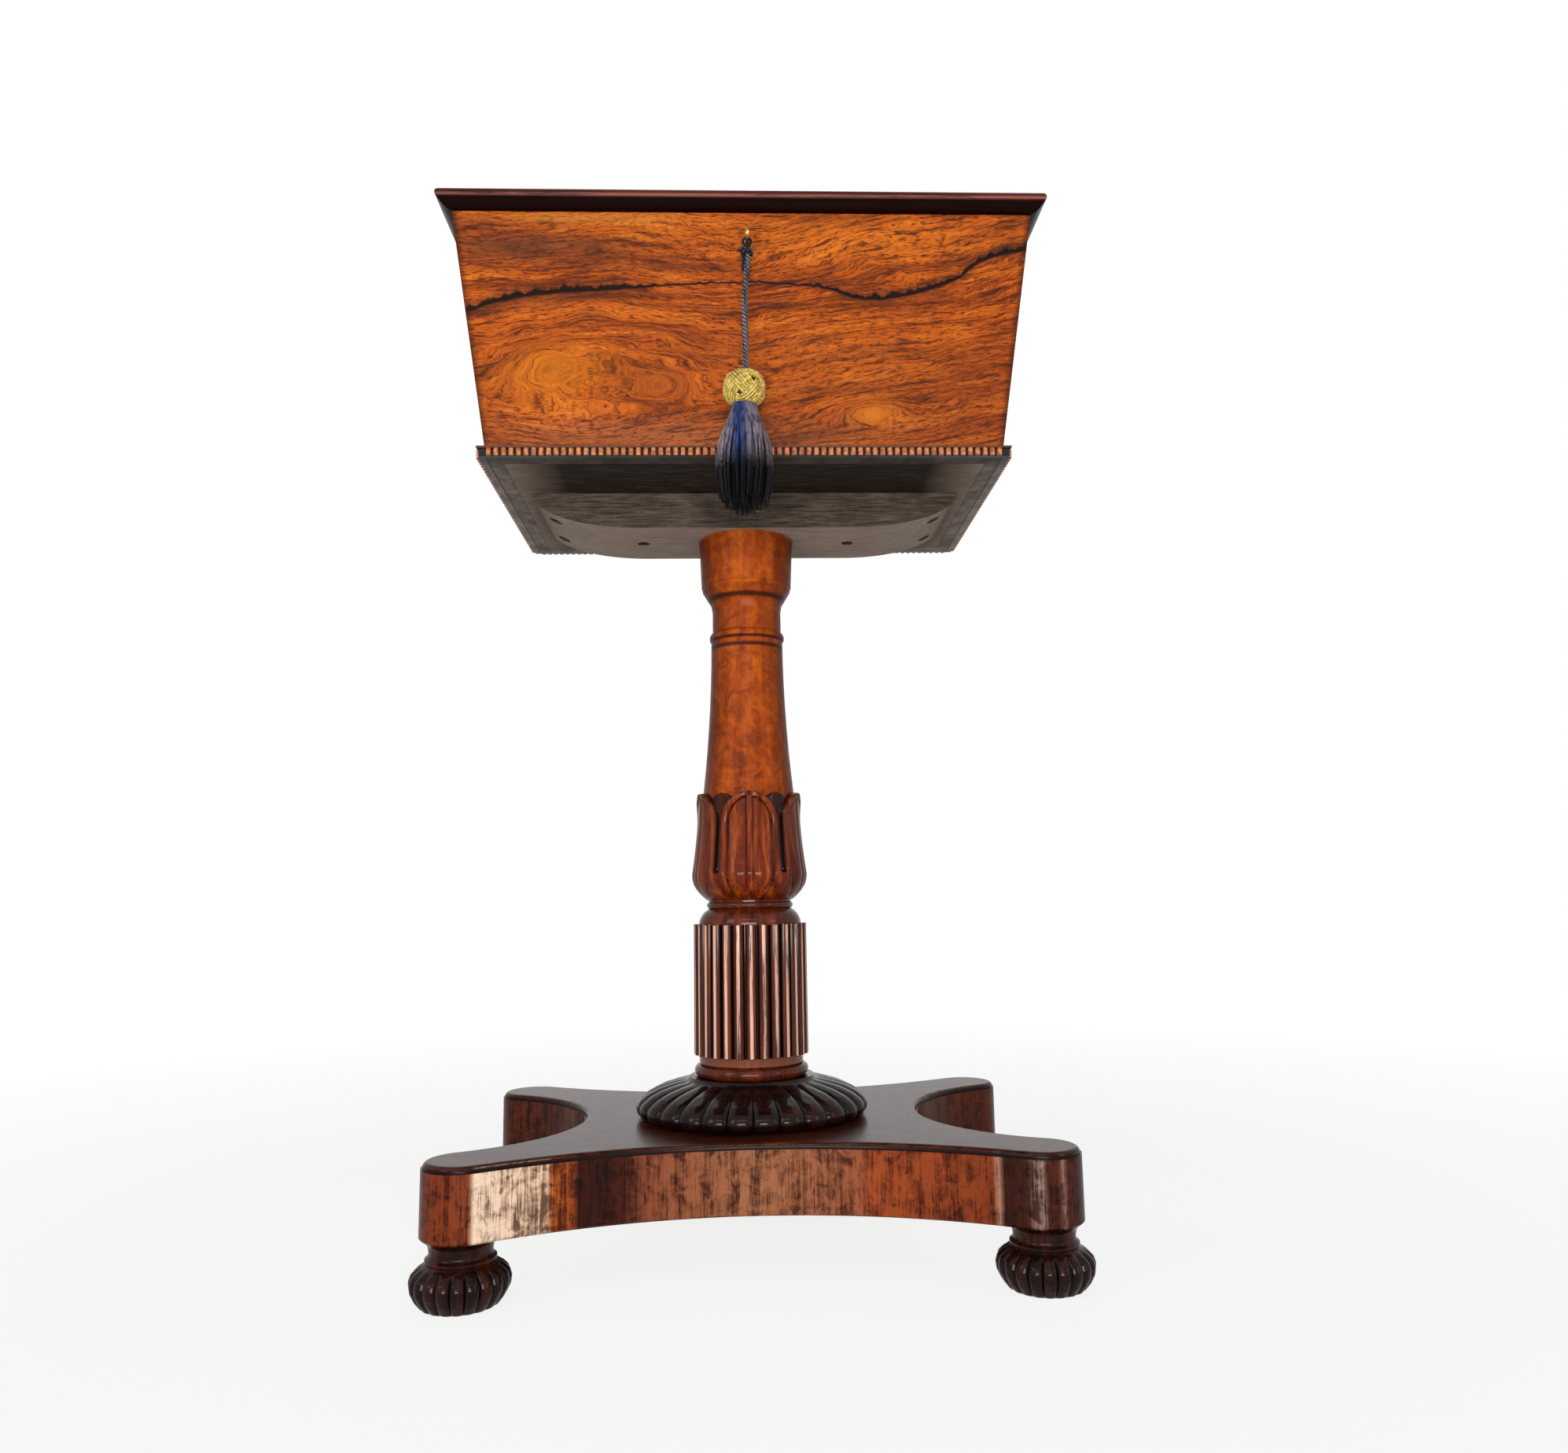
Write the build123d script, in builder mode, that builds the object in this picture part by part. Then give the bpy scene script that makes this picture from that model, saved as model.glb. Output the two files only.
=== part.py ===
from build123d import *
import math
import os

os.makedirs("parts", exist_ok=True)

# Teapoy: a battered tea chest on a turned and carved column, a four-lobed platform and bun feet.
# Millimetres. The origin is the middle of the base on the floor, +Z is up, -Y is the lock side.

# ---------------------------------------------------------------- clearances
FIT = 0.1  # radial gap round a tenon, dowel or screw shank
RUN = 0.05  # radial running gap of a hinge pin or key shank
GAP = 0.3  # gap between pieces that move against each other

# ---------------------------------------------------------------- feet
FOOT_X = 191.6  # lobe and foot centres, from the column's axis
FOOT_Y = 136.3
FOOT_R = 32.8  # widest radius of the bun
FOOT_SOLE_R = 23.6
FOOT_BUN_H = 27.0
FOOT_NECK_H = 15.4
FOOT_LOBES = 20
FOOT_FLUTE = 2.2  # depth of the flutes between the lobes
COLLAR_R = 23.0
NECK_R = 20.5
NECK_TOP_R = 25.4
DOWEL_R = 8.0
DOWEL_L = 20.0

# ---------------------------------------------------------------- platform
LOBE_R = 27.0
WAIST_Y = 109.9  # middle of the hollow front and back edges
WAIST_X = 130.7  # middle of the hollow side edges
PLATFORM_T = 48.0
TOP_STEP_H = 4.0  # raised moulded edge of the top
TOP_STEP_IN = 1.2
TOP_ROUND = 3.4
PLATFORM_CHAMFER = 1.4

# ---------------------------------------------------------------- column
CARVED_N = 28  # gadroons round the disc and reeds round the drum
DISC_R = 89.9
DISC_SOLE_R = 79.0
DISC_H = 30.5
DISC_RING_R = 49.4
DISC_RING_H = 3.0
GADROON_DEPTH = 3.4
TENON_R = 14.0
TENON_IN_PLATFORM = 30.0
TORUS_R = 44.4
TORUS_H = 9.7
DRUM_FILLET_R = 40.5
DRUM_FILLET_H = 6.4
REED_OUT_R = 44.8
REED_R = 4.2  # half width of one reed
REED_L = 100.0
OGEE_H = 12.0
OGEE_NECK_R = 32.5
RING_R = 34.3
RING_H = 6.5
LOTUS_FOOT_R = 33.7
LOTUS_BELLY_R = 44.8
LOTUS_BELLY_Z = 21.0  # above the lotus foot
LOTUS_TIP_R = 40.4
LOTUS_CORE_H = 66.5
LEAF_H = 84.8
LEAF_N = 5
LEAF_W = 51.0
LEAF_RELIEF = 3.2  # how far the front leaves stand off the ones behind
SHAFT_H = 228.5
SHAFT_FOOT_R = 36.6
SHAFT_MID_R = 33.8
SHAFT_TOP_R = 29.3
SHAFT_BEAD_R = 30.6
SHAFT_NECK_R = 28.1
CAPITAL_R = 37.0
CAPITAL_TOP_R = 38.6
LOTUS_TENON_R = 12.0
LOTUS_TENON_L = 30.0
TOP_TENON_R = 15.0
TOP_TENON_L = 20.0

# ---------------------------------------------------------------- bearer
BEARER_HALF_L = 170.5
BEARER_HALF_W = 43.0
BEARER_T = 28.8
BEARER_END = 85.5  # length of each curved end
SCREW_R = 2.2
SCREW_HEAD_R = 4.2
SCREW_HEAD_H = 2.4
SCREW_WELL_R = 5.0
SCREW_SEAT = 8.0  # wood left between the head and the chest
SCREW_BITE = 7.0
SCREW_END_IN = 16.5  # outer screws from the bearer's ends
SCREW_END_Y = 24.0

# ---------------------------------------------------------------- chest
CASE_HALF_W = 214.9  # outside, at the top edge
CASE_HALF_D = 141.7
CASE_H = 181.2
BATTER = 7.5  # degrees by which each wall leans outwards
WALL = 11.0  # measured level
BOTTOM_T = 10.0
BEAD_STRIP_H = 7.6
BEAD_BACK = 4.6  # fillet behind the beads
BEAD_OUT = 2.5
BEAD_CAP_H = 1.4  # fillet over the beads
BEAD_CAP_OUT = 1.6
BEAD_W = 4.4
BEAD_PITCH = 5.45

# ---------------------------------------------------------------- lid
LID_T = 13.4
LID_INSET = 6.0  # board edge inside the chest's top edge
LID_OVERHANG = 10.2
LID_PANEL_T = 1.8
LID_PANEL_IN = 12.5  # panel edge inside the moulding's nose
HINGE_X = 120.0
KNUCKLE_R = 2.6
PIN_R = 1.3
LEAF_PLATE_T = 1.5
LEAF_PLATE_L = 44.0
LEAF_PLATE_REACH = 16.0
KNUCKLE_PARTS = 3

# ---------------------------------------------------------------- lock and key
KEY_X = 2.0
KEY_DROP = 23.5  # key axis below the chest's top edge
LOCK_HALF_W = 28.0
LOCK_COVER = 3.4  # wood left in front of the lock
LOCK_T = 9.6
LOCK_DROP = 11.0  # key axis above the lock's lower edge
LOCK_WALL = 1.4
LUG_PITCH = 24.0
LUG_T = 2.6
LUG_W = 6.2
LUG_DROP = 11.3
LUG_BAR = 1.8
LUG_EYE_H = 5.2
LUG_EYE_W = 3.4
BOLT_T = 2.8
BOLT_BAR_H = 2.8
BOLT_TRAVEL = 4.8
BOLT_FINGER_L = 4.7
KEY_SHANK_R = 2.0
KEY_BIT_L = 9.0
KEY_BIT_T = 2.0
KEY_BIT_W = 4.0
KEYHOLE_LIP = 0.8
KEYHOLE_SLOT_W = 3.2
ESCUTCHEON_T = 1.2
ESCUTCHEON_DEPTH = 3.0
BOW_HALF_L = 8.0
BOW_HALF_H = 6.5
BOW_WIRE = 2.4
BOW_T = 2.2
BOW_STANDOFF = 5.0  # collar length between the chest and the bow

# ---------------------------------------------------------------- cord and tassel
LOOP_HOLE_R = 1.7
LOOP_CORD_R = 1.2
CORD_R = 2.2
HITCH_R = 2.9
HITCH_H = 6.0
CORD_DROP = 88.0  # from the hitch down to the head of the tassel
CORD_DRIFT = 2.4  # sideways, between the cord's two ends
HEAD_DRIFT = 3.4
HEAD_HALF_W = 15.3
HEAD_H = 30.0
SKIRT_H = 82.0
SKIRT_NECK_R = 8.6
SKIRT_R = 20.5

# ---------------------------------------------------------------- fittings inside
DECK_T = 6.0
DECK_DROP = 48.0  # deck's top below the chest's rim
DIVIDER_T = 6.0
DIVIDER_X = 82.0
CADDY_SIDE = 11.9  # room between the caddies and the chest's end walls
CADDY_BACK = 9.2  # and its front and back walls
CADDY_APART = 14.0
CADDY_WALL = 2.5
CADDY_RISE = 18.0  # above the deck
CADDY_LID_T = 8.0
CADDY_LID_LAP = 5.0
CADDY_KNOB_R = 8.0
CADDY_KNOB_H = 14.0
CADDY_PLAY = 0.5
BOWL_BACK = 9.6  # deck left outside the bowls' rims
BOWLS_APART = 12.0
BOWL_RIM_LAP = 4.0
BOWL_RIM_T = 4.0
BOWL_WALL = 4.0
BOWL_DEPTH = 72.0
BOWL_FOOT_R = 24.0

# ---------------------------------------------------------------- levels and derived places
PLATFORM_Z = FOOT_BUN_H + FOOT_NECK_H
DISC_Z = PLATFORM_Z + PLATFORM_T
DRUM_Z = DISC_Z + DISC_H
REED_Z = DRUM_Z + TORUS_H + DRUM_FILLET_H
OGEE_Z = REED_Z + REED_L
LOTUS_Z = OGEE_Z + OGEE_H + RING_H
SHAFT_Z = LOTUS_Z + LOTUS_CORE_H
BEARER_Z = SHAFT_Z + SHAFT_H
CASE_Z = BEARER_Z + BEARER_T
CASE_TOP = CASE_Z + CASE_H
KEY_Z = CASE_TOP - KEY_DROP
LID_Z = CASE_TOP + GAP
LID_TOP = LID_Z + LID_T
DECK_Z = CASE_TOP - DECK_DROP - DECK_T
FLOOR_Z = CASE_Z + BOTTOM_T
LEAN = math.tan(math.radians(BATTER))
MITRE = CASE_HALF_W - CASE_HALF_D
NOSE = LID_INSET + LID_OVERHANG
BACK_Y = CASE_HALF_D
HINGE_Y = BACK_Y + GAP + KNUCKLE_R
HINGE_Z = CASE_TOP + GAP / 2
LOCK_Z = KEY_Z - LOCK_DROP
LOOP_Z = KEY_Z - BOW_HALF_H + BOW_WIRE / 2
LOOP_MID_R = LOOP_HOLE_R + LOOP_CORD_R
SWING_Z = LOOP_Z - LOOP_MID_R
HITCH_Z = SWING_Z - LOOP_CORD_R - GAP - HITCH_H
HEAD_Z = HITCH_Z - CORD_DROP - HEAD_H
HEAD_X = KEY_X - HEAD_DRIFT


def half_width(z):
    """Half the chest's outside width at a height."""
    return CASE_HALF_W - (CASE_TOP - z) * LEAN


def half_depth(z):
    """Half the chest's outside depth at a height."""
    return CASE_HALF_D - (CASE_TOP - z) * LEAN


FRONT_AT_KEY = -half_depth(KEY_Z)
BOW_Y = FRONT_AT_KEY - BOW_STANDOFF - BOW_HALF_L
LOCK_FRONT_Y = FRONT_AT_KEY + LOCK_COVER
LOCK_Y = LOCK_FRONT_Y + LOCK_T / 2
LOCK_ROOM_Y = (LOCK_FRONT_Y + LOCK_WALL, LOCK_FRONT_Y + LOCK_T - LOCK_WALL)
CADDY_IN_X = DIVIDER_X + DIVIDER_T / 2 + CADDY_PLAY
CADDY_W = half_width(FLOOR_Z) - WALL - CADDY_SIDE - CADDY_IN_X
CADDY_X = CADDY_IN_X + CADDY_W / 2
CADDY_D = half_depth(FLOOR_Z) - WALL - CADDY_BACK - CADDY_APART / 2
CADDY_Y = (CADDY_APART + CADDY_D) / 2
BOWL_RIM_R = (half_depth(DECK_Z) - WALL - BOWL_BACK - BOWLS_APART / 2) / 2
BOWL_R = BOWL_RIM_R - BOWL_RIM_LAP
BOWL_Y = BOWLS_APART / 2 + BOWL_RIM_R


def save(part, name):
    """Label a finished piece and write its file."""
    part.label = name
    export_step(part, f"parts/{name}.step")


def battered_block(z_low, z_high, inset):
    """Solid between two heights whose sides lean with the chest's walls, set in from them."""
    with BuildPart() as block:
        with BuildSketch(Plane.XY.offset(z_low)):
            Rectangle(2 * (half_width(z_low) - inset), 2 * (half_depth(z_low) - inset))
        extrude(amount=z_high - z_low, taper=-BATTER)
    return block.part


def mitre_planes(side):
    """The two upright 45 degree planes that bound one side's board; the board is below both."""
    along = {"front": (0, 1), "back": (0, -1), "left": (1, 0), "right": (-1, 0)}[side]
    planes = []
    for across in (-1, 1):
        if along[0] == 0:
            planes.append(Plane(origin=(across * MITRE, 0, 0), z_dir=(across, along[1], 0)))
        else:
            planes.append(Plane(origin=(-along[0] * MITRE, 0, 0), z_dir=(along[0], across, 0)))
    return planes


def scalloped_stack(rings, count, z_base):
    """Ruled loft through scalloped outlines: rings of (height, crest radius, flute depth)."""
    step = 2 * math.pi / count
    with BuildPart() as stack:
        for height, crest, flute in rings:
            with BuildSketch(Plane.XY.offset(z_base + height)):
                with BuildLine():
                    for i in range(count):
                        angles = [(i - 0.5) * step, i * step, (i + 0.5) * step]
                        radii = [crest - flute, crest, crest - flute]
                        ThreePointArc(*[(r * math.cos(a), r * math.sin(a)) for r, a in zip(radii, angles)])
                make_face()
        loft(ruled=True)
    return stack.part


# ================================================================ base

# Bun foot, turned with its neck and dowel, the bun gadrooned with upright lobes.
foot_bun = scalloped_stack(
    [
        (0, FOOT_SOLE_R, 0.6 * FOOT_FLUTE),
        (0.27 * FOOT_BUN_H, 0.9 * FOOT_R, FOOT_FLUTE),
        (0.68 * FOOT_BUN_H, FOOT_R, FOOT_FLUTE),
        (0.9 * FOOT_BUN_H, 0.9 * FOOT_R, FOOT_FLUTE),
        (FOOT_BUN_H, 0.72 * FOOT_R, 0.2 * FOOT_FLUTE),
    ],
    FOOT_LOBES,
    0,
)
with BuildPart() as foot:
    add(foot_bun)
    with BuildSketch(Plane.XZ):
        with BuildLine():
            collar_top = FOOT_BUN_H + 0.25 * FOOT_NECK_H
            l1 = Polyline((0, FOOT_BUN_H - 1), (0.9 * COLLAR_R, FOOT_BUN_H - 1), (COLLAR_R, FOOT_BUN_H + 1))
            l2 = Line(l1 @ 1, (COLLAR_R, collar_top))
            l3 = Line(l2 @ 1, (NECK_R, collar_top))
            l4 = Line(l3 @ 1, (NECK_R, FOOT_BUN_H + 0.5 * FOOT_NECK_H))
            l5 = TangentArc(l4 @ 1, (NECK_TOP_R, PLATFORM_Z), tangent=(0, 1))
            Polyline(l5 @ 1, (0, PLATFORM_Z), (0, FOOT_BUN_H - 1))
        make_face()
    revolve(axis=Axis.Z)
    with BuildSketch(Plane.XY.offset(PLATFORM_Z)):
        Circle(DOWEL_R)
    extrude(amount=DOWEL_L)
for name, sx, sy in (("fl", -1, -1), ("fr", 1, -1), ("bl", -1, 1), ("br", 1, 1)):
    save(foot.part.moved(Location((sx * FOOT_X, sy * FOOT_Y, 0))), f"foot_{name}")

# Platform: four lobes joined by hollow edges whose arcs run tangent into the lobes.
HOLLOW_Y_R = (FOOT_X**2 + (FOOT_Y - WAIST_Y) ** 2 - LOBE_R**2) / (2 * (LOBE_R + FOOT_Y - WAIST_Y))
HOLLOW_X_R = (FOOT_Y**2 + (FOOT_X - WAIST_X) ** 2 - LOBE_R**2) / (2 * (LOBE_R + FOOT_X - WAIST_X))
turn_y = math.atan2(WAIST_Y + HOLLOW_Y_R - FOOT_Y, FOOT_X)
turn_x = math.atan2(FOOT_Y, WAIST_X + HOLLOW_X_R - FOOT_X)
meet_y = (FOOT_X - LOBE_R * math.cos(turn_y), FOOT_Y + LOBE_R * math.sin(turn_y))
meet_x = (FOOT_X + LOBE_R * math.cos(turn_x), FOOT_Y - LOBE_R * math.sin(turn_x))
lobe_tip = (FOOT_X + LOBE_R * math.cos(0.9), FOOT_Y + LOBE_R * math.sin(0.9))
with BuildPart() as platform:
    with BuildSketch(Plane.XY.offset(PLATFORM_Z)) as outline:
        with BuildLine():
            for sx, sy in ((1, 1), (-1, 1), (-1, -1), (1, -1)):
                corners = [(sx * x, sy * y) for x, y in (meet_x, lobe_tip, meet_y)]
                ThreePointArc(*corners)
            for s in (-1, 1):
                ThreePointArc((meet_y[0], s * meet_y[1]), (0, s * WAIST_Y), (-meet_y[0], s * meet_y[1]))
                ThreePointArc((s * meet_x[0], meet_x[1]), (s * WAIST_X, 0), (s * meet_x[0], -meet_x[1]))
        make_face()
    extrude(amount=PLATFORM_T - TOP_STEP_H)
    chamfer(platform.faces().sort_by(Axis.Z)[0].edges(), PLATFORM_CHAMFER)
    with BuildSketch(Plane.XY.offset(DISC_Z - TOP_STEP_H)):
        add(outline.sketch.moved(Location((0, 0, PLATFORM_T - TOP_STEP_H))))
        offset(amount=-TOP_STEP_IN, mode=Mode.REPLACE)
    extrude(amount=TOP_STEP_H)
    fillet(platform.faces().sort_by(Axis.Z)[-1].edges(), TOP_ROUND)
    with BuildSketch(Plane.XY.offset(PLATFORM_Z)):
        with GridLocations(2 * FOOT_X, 2 * FOOT_Y, 2, 2):
            Circle(DOWEL_R + FIT)
    extrude(amount=DOWEL_L + FIT, mode=Mode.SUBTRACT)
    with BuildSketch(Plane.XY.offset(DISC_Z)):
        Circle(TENON_R + FIT)
    extrude(amount=-(TENON_IN_PLATFORM + FIT), mode=Mode.SUBTRACT)
save(platform.part, "platform")

# ================================================================ column

# Gadrooned disc that spreads the column's foot on the platform.
gadroons = scalloped_stack(
    [
        (0, DISC_SOLE_R, 0.8 * GADROON_DEPTH),
        (0.1 * DISC_H, 0.96 * DISC_R, GADROON_DEPTH),
        (0.27 * DISC_H, DISC_R, GADROON_DEPTH),
        (0.5 * DISC_H, 0.94 * DISC_R, GADROON_DEPTH),
        (0.72 * DISC_H, 0.79 * DISC_R, 0.7 * GADROON_DEPTH),
        (DISC_H - DISC_RING_H, DISC_RING_R + 3, 0.2 * GADROON_DEPTH),
    ],
    CARVED_N,
    DISC_Z,
)
with BuildPart() as disc:
    add(gadroons)
    with BuildSketch(Plane.XY.offset(DRUM_Z - DISC_RING_H)):
        Circle(DISC_RING_R)
    extrude(amount=DISC_RING_H)
    with BuildSketch(Plane.XY.offset(DISC_Z)):
        Circle(TENON_R + FIT)
    extrude(amount=DISC_H, mode=Mode.SUBTRACT)
save(disc.part, "gadrooned_disc")

# Reeded drum with its foot torus, top ogee, ring and the tenon through the disc.
with BuildPart() as drum:
    with BuildSketch(Plane.XZ):
        with BuildLine():
            torus_top = DRUM_Z + TORUS_H - 1.2
            d1 = Polyline(
                (0, DRUM_Z - DISC_H - TENON_IN_PLATFORM),
                (TENON_R, DRUM_Z - DISC_H - TENON_IN_PLATFORM),
                (TENON_R, DRUM_Z),
                (TORUS_R - 3, DRUM_Z),
            )
            d2 = ThreePointArc(d1 @ 1, (TORUS_R, (DRUM_Z + torus_top) / 2), (TORUS_R - 3, torus_top))
            d3 = Polyline(
                d2 @ 1,
                (DRUM_FILLET_R - 1, torus_top),
                (DRUM_FILLET_R, DRUM_Z + TORUS_H),
                (DRUM_FILLET_R, REED_Z),
                (REED_OUT_R - REED_R, REED_Z),
                (REED_OUT_R - REED_R, OGEE_Z),
                (DRUM_FILLET_R, OGEE_Z),
            )
            d4 = Line(d3 @ 1, (DRUM_FILLET_R, OGEE_Z + 1.5))
            d5 = ThreePointArc(
                d4 @ 1,
                (OGEE_NECK_R + 5.6, OGEE_Z + 0.6 * OGEE_H),
                (OGEE_NECK_R, OGEE_Z + OGEE_H),
            )
            d6 = ThreePointArc(
                d5 @ 1,
                (RING_R, OGEE_Z + OGEE_H + 0.4 * RING_H),
                (LOTUS_FOOT_R - 1, OGEE_Z + OGEE_H + 0.8 * RING_H),
            )
            Polyline(
                d6 @ 1,
                (LOTUS_FOOT_R - 1, LOTUS_Z),
                (0, LOTUS_Z),
                (0, DRUM_Z - DISC_H - TENON_IN_PLATFORM),
            )
        make_face()
    revolve(axis=Axis.Z)
    with BuildSketch(Plane.XY.offset(REED_Z)):
        with PolarLocations(REED_OUT_R - REED_R, CARVED_N):
            Circle(REED_R)
    extrude(amount=REED_L)
    with BuildSketch(Plane.XY.offset(LOTUS_Z)):
        Circle(LOTUS_TENON_R + FIT)
    extrude(amount=-(LOTUS_TENON_L + FIT), mode=Mode.SUBTRACT)
save(drum.part, "reeded_drum")


def lotus_shell(inset, top):
    """Solid of revolution with the lotus's swelling outline, set in by a depth."""
    with BuildPart() as shell:
        with BuildSketch(Plane.XZ):
            with BuildLine():
                belly = (LOTUS_BELLY_R - inset, LOTUS_Z + LOTUS_BELLY_Z)
                tip = (LOTUS_TIP_R - inset, LOTUS_Z + top)
                s1 = Line((0, LOTUS_Z), (LOTUS_FOOT_R - inset, LOTUS_Z))
                s2 = TangentArc(belly, s1 @ 1, tangent=(0, -1))
                s3 = ThreePointArc(belly, (LOTUS_TIP_R + 1.1 - inset, LOTUS_Z + 0.62 * LEAF_H), tip)
                Polyline(s3 @ 1, (0, LOTUS_Z + top), s1 @ 0)
            make_face()
        revolve(axis=Axis.Z)
    return shell.part


def leaf_outline_block(width, height):
    """Tall ogive leaf outline seen from the front, run outwards from the axis."""
    with BuildPart() as block:
        with BuildSketch(Plane.XZ):
            with BuildLine():
                half = width / 2
                low = LOTUS_Z + 0.62 * height
                tip = (0, LOTUS_Z + height)
                base = Polyline((-half, low), (-half, LOTUS_Z), (half, LOTUS_Z), (half, low))
                TangentArc(base @ 1, tip, tangent=(0, 1))
                TangentArc(base @ 0, tip, tangent=(0, 1))
            make_face()
        extrude(amount=LOTUS_BELLY_R + 5)
    return block.part


# Lotus cup: a core, a rear circle of leaves and the five front leaves laid over it.
front_leaf = lotus_shell(0, LEAF_H) & leaf_outline_block(LEAF_W - 3.6, LEAF_H)
rear_leaf = lotus_shell(LEAF_RELIEF, LEAF_H - 1) & leaf_outline_block(LEAF_W - 6, LEAF_H - 1.5)
with BuildPart() as lotus:
    add(lotus_shell(0, LEAF_H))
    split(bisect_by=Plane.XY.offset(LOTUS_Z + LOTUS_BELLY_Z - 2), keep=Keep.BOTTOM)
    with PolarLocations(0, LEAF_N):
        add(front_leaf)
    with PolarLocations(0, LEAF_N, start_angle=180 / LEAF_N):
        add(rear_leaf)
    with BuildSketch(Plane.XY.offset(SHAFT_Z)):
        Circle(SHAFT_FOOT_R + RUN)
    extrude(amount=LEAF_H, mode=Mode.SUBTRACT)
    with BuildSketch(Plane.XY.offset(LOTUS_Z)):
        Circle(LOTUS_TENON_R + FIT)
    extrude(amount=LOTUS_CORE_H, mode=Mode.SUBTRACT)
save(lotus.part, "lotus_cup")

# Tapered shaft with its neck bead, capital and the two tenons.
with BuildPart() as shaft:
    with BuildSketch(Plane.XZ):
        with BuildLine():
            bead_z = SHAFT_Z + 0.643 * SHAFT_H
            cone_z = bead_z + 0.12 * SHAFT_H
            cap_z = cone_z + 0.052 * SHAFT_H
            h1 = Polyline(
                (0, SHAFT_Z - LOTUS_CORE_H - LOTUS_TENON_L),
                (LOTUS_TENON_R, SHAFT_Z - LOTUS_CORE_H - LOTUS_TENON_L),
                (LOTUS_TENON_R, SHAFT_Z),
                (SHAFT_FOOT_R, SHAFT_Z),
                (SHAFT_FOOT_R, LOTUS_Z + LEAF_H),
            )
            h2 = ThreePointArc(
                h1 @ 1,
                (SHAFT_TOP_R + 0.25 * (SHAFT_MID_R - SHAFT_TOP_R), SHAFT_Z + 0.42 * SHAFT_H),
                (SHAFT_TOP_R, bead_z - 4),
            )
            h3 = ThreePointArc(h2 @ 1, (SHAFT_BEAD_R, bead_z), (SHAFT_NECK_R, bead_z + 4))
            h4 = Line(h3 @ 1, (SHAFT_NECK_R, cone_z - 6))
            h5 = Polyline(
                h4 @ 1,
                (SHAFT_NECK_R + 1, cone_z),
                (CAPITAL_R - 0.8, cap_z),
                (CAPITAL_R - 0.8, cap_z + 2.4),
                (CAPITAL_R, cap_z + 3),
                (CAPITAL_TOP_R, BEARER_Z - 2),
                (CAPITAL_TOP_R + 0.8, BEARER_Z),
                (TOP_TENON_R, BEARER_Z),
                (TOP_TENON_R, BEARER_Z + TOP_TENON_L),
                (0, BEARER_Z + TOP_TENON_L),
            )
            Line(h5 @ 1, h1 @ 0)
        make_face()
    revolve(axis=Axis.Z)
save(shaft.part, "column_shaft")

# ================================================================ bearer and its screws

bearer_flat = BEARER_HALF_L - BEARER_END
screw_end_x = BEARER_HALF_L - SCREW_END_IN
screw_places = [(sx * screw_end_x, sy * SCREW_END_Y) for sx in (-1, 1) for sy in (-1, 1)]
screw_places += [(-bearer_flat, 0), (bearer_flat, 0)]
with BuildPart() as bearer:
    with BuildSketch(Plane.XZ):
        with BuildLine():
            Polyline((-BEARER_HALF_L, CASE_Z), (BEARER_HALF_L, CASE_Z))
            EllipticalCenterArc((bearer_flat, CASE_Z), BEARER_END, BEARER_T, start_angle=270, arc_size=90)
            EllipticalCenterArc((-bearer_flat, CASE_Z), BEARER_END, BEARER_T, start_angle=180, arc_size=90)
            Line((-bearer_flat, BEARER_Z), (bearer_flat, BEARER_Z))
        make_face()
    extrude(amount=BEARER_HALF_W, both=True)
    with BuildSketch(Plane.XY.offset(CASE_Z - SCREW_SEAT)):
        with Locations(*screw_places):
            Circle(SCREW_WELL_R)
    extrude(amount=-BEARER_T, mode=Mode.SUBTRACT)
    with BuildSketch(Plane.XY.offset(CASE_Z - SCREW_SEAT)):
        with Locations(*screw_places):
            Circle(SCREW_R + FIT)
    extrude(amount=SCREW_SEAT, mode=Mode.SUBTRACT)
    with BuildSketch(Plane.XY.offset(BEARER_Z)):
        Circle(TOP_TENON_R + FIT)
    extrude(amount=TOP_TENON_L + FIT, mode=Mode.SUBTRACT)
save(bearer.part, "bearer")

with BuildPart() as screw:
    with BuildSketch(Plane.XY.offset(CASE_Z - SCREW_SEAT)):
        Circle(SCREW_HEAD_R)
    extrude(amount=-SCREW_HEAD_H)
    fillet(screw.faces().sort_by(Axis.Z)[0].edges(), 1)
    with BuildSketch(Plane.XY.offset(CASE_Z - SCREW_SEAT - SCREW_HEAD_H)):
        Rectangle(2 * SCREW_HEAD_R, 1)
    extrude(amount=1.1, mode=Mode.SUBTRACT)
    with BuildSketch(Plane.XY.offset(CASE_Z - SCREW_SEAT)):
        Circle(SCREW_R)
    extrude(amount=SCREW_SEAT + SCREW_BITE)
for number, place in enumerate(screw_places, start=1):
    save(screw.part.moved(Location((place[0], place[1], 0))), f"bearer_screw_{number}")

# ================================================================ chest

with BuildPart() as bottom:
    add(battered_block(CASE_Z, FLOOR_Z, WALL))
    with BuildSketch(Plane.XY.offset(CASE_Z)):
        with Locations(*screw_places):
            Circle(SCREW_R + FIT)
    extrude(amount=SCREW_BITE + FIT, mode=Mode.SUBTRACT)
save(bottom.part, "bottom_board")


def draw_keyhole(grow):
    """Keyhole outline in the sketch at work: a round with a slot below it, enlarged all round."""
    Circle(KEY_SHANK_R + KEYHOLE_LIP + grow)
    drop = KEY_BIT_L + KEYHOLE_LIP + grow
    with Locations((0, -drop / 2)):
        Rectangle(KEYHOLE_SLOT_W + 2 * grow, drop)


def key_plane(y):
    """Upright plane across the key's axis at a depth, seen from the front."""
    return Plane(origin=(KEY_X, y, KEY_Z), x_dir=(1, 0, 0), z_dir=(0, -1, 0))


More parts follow.
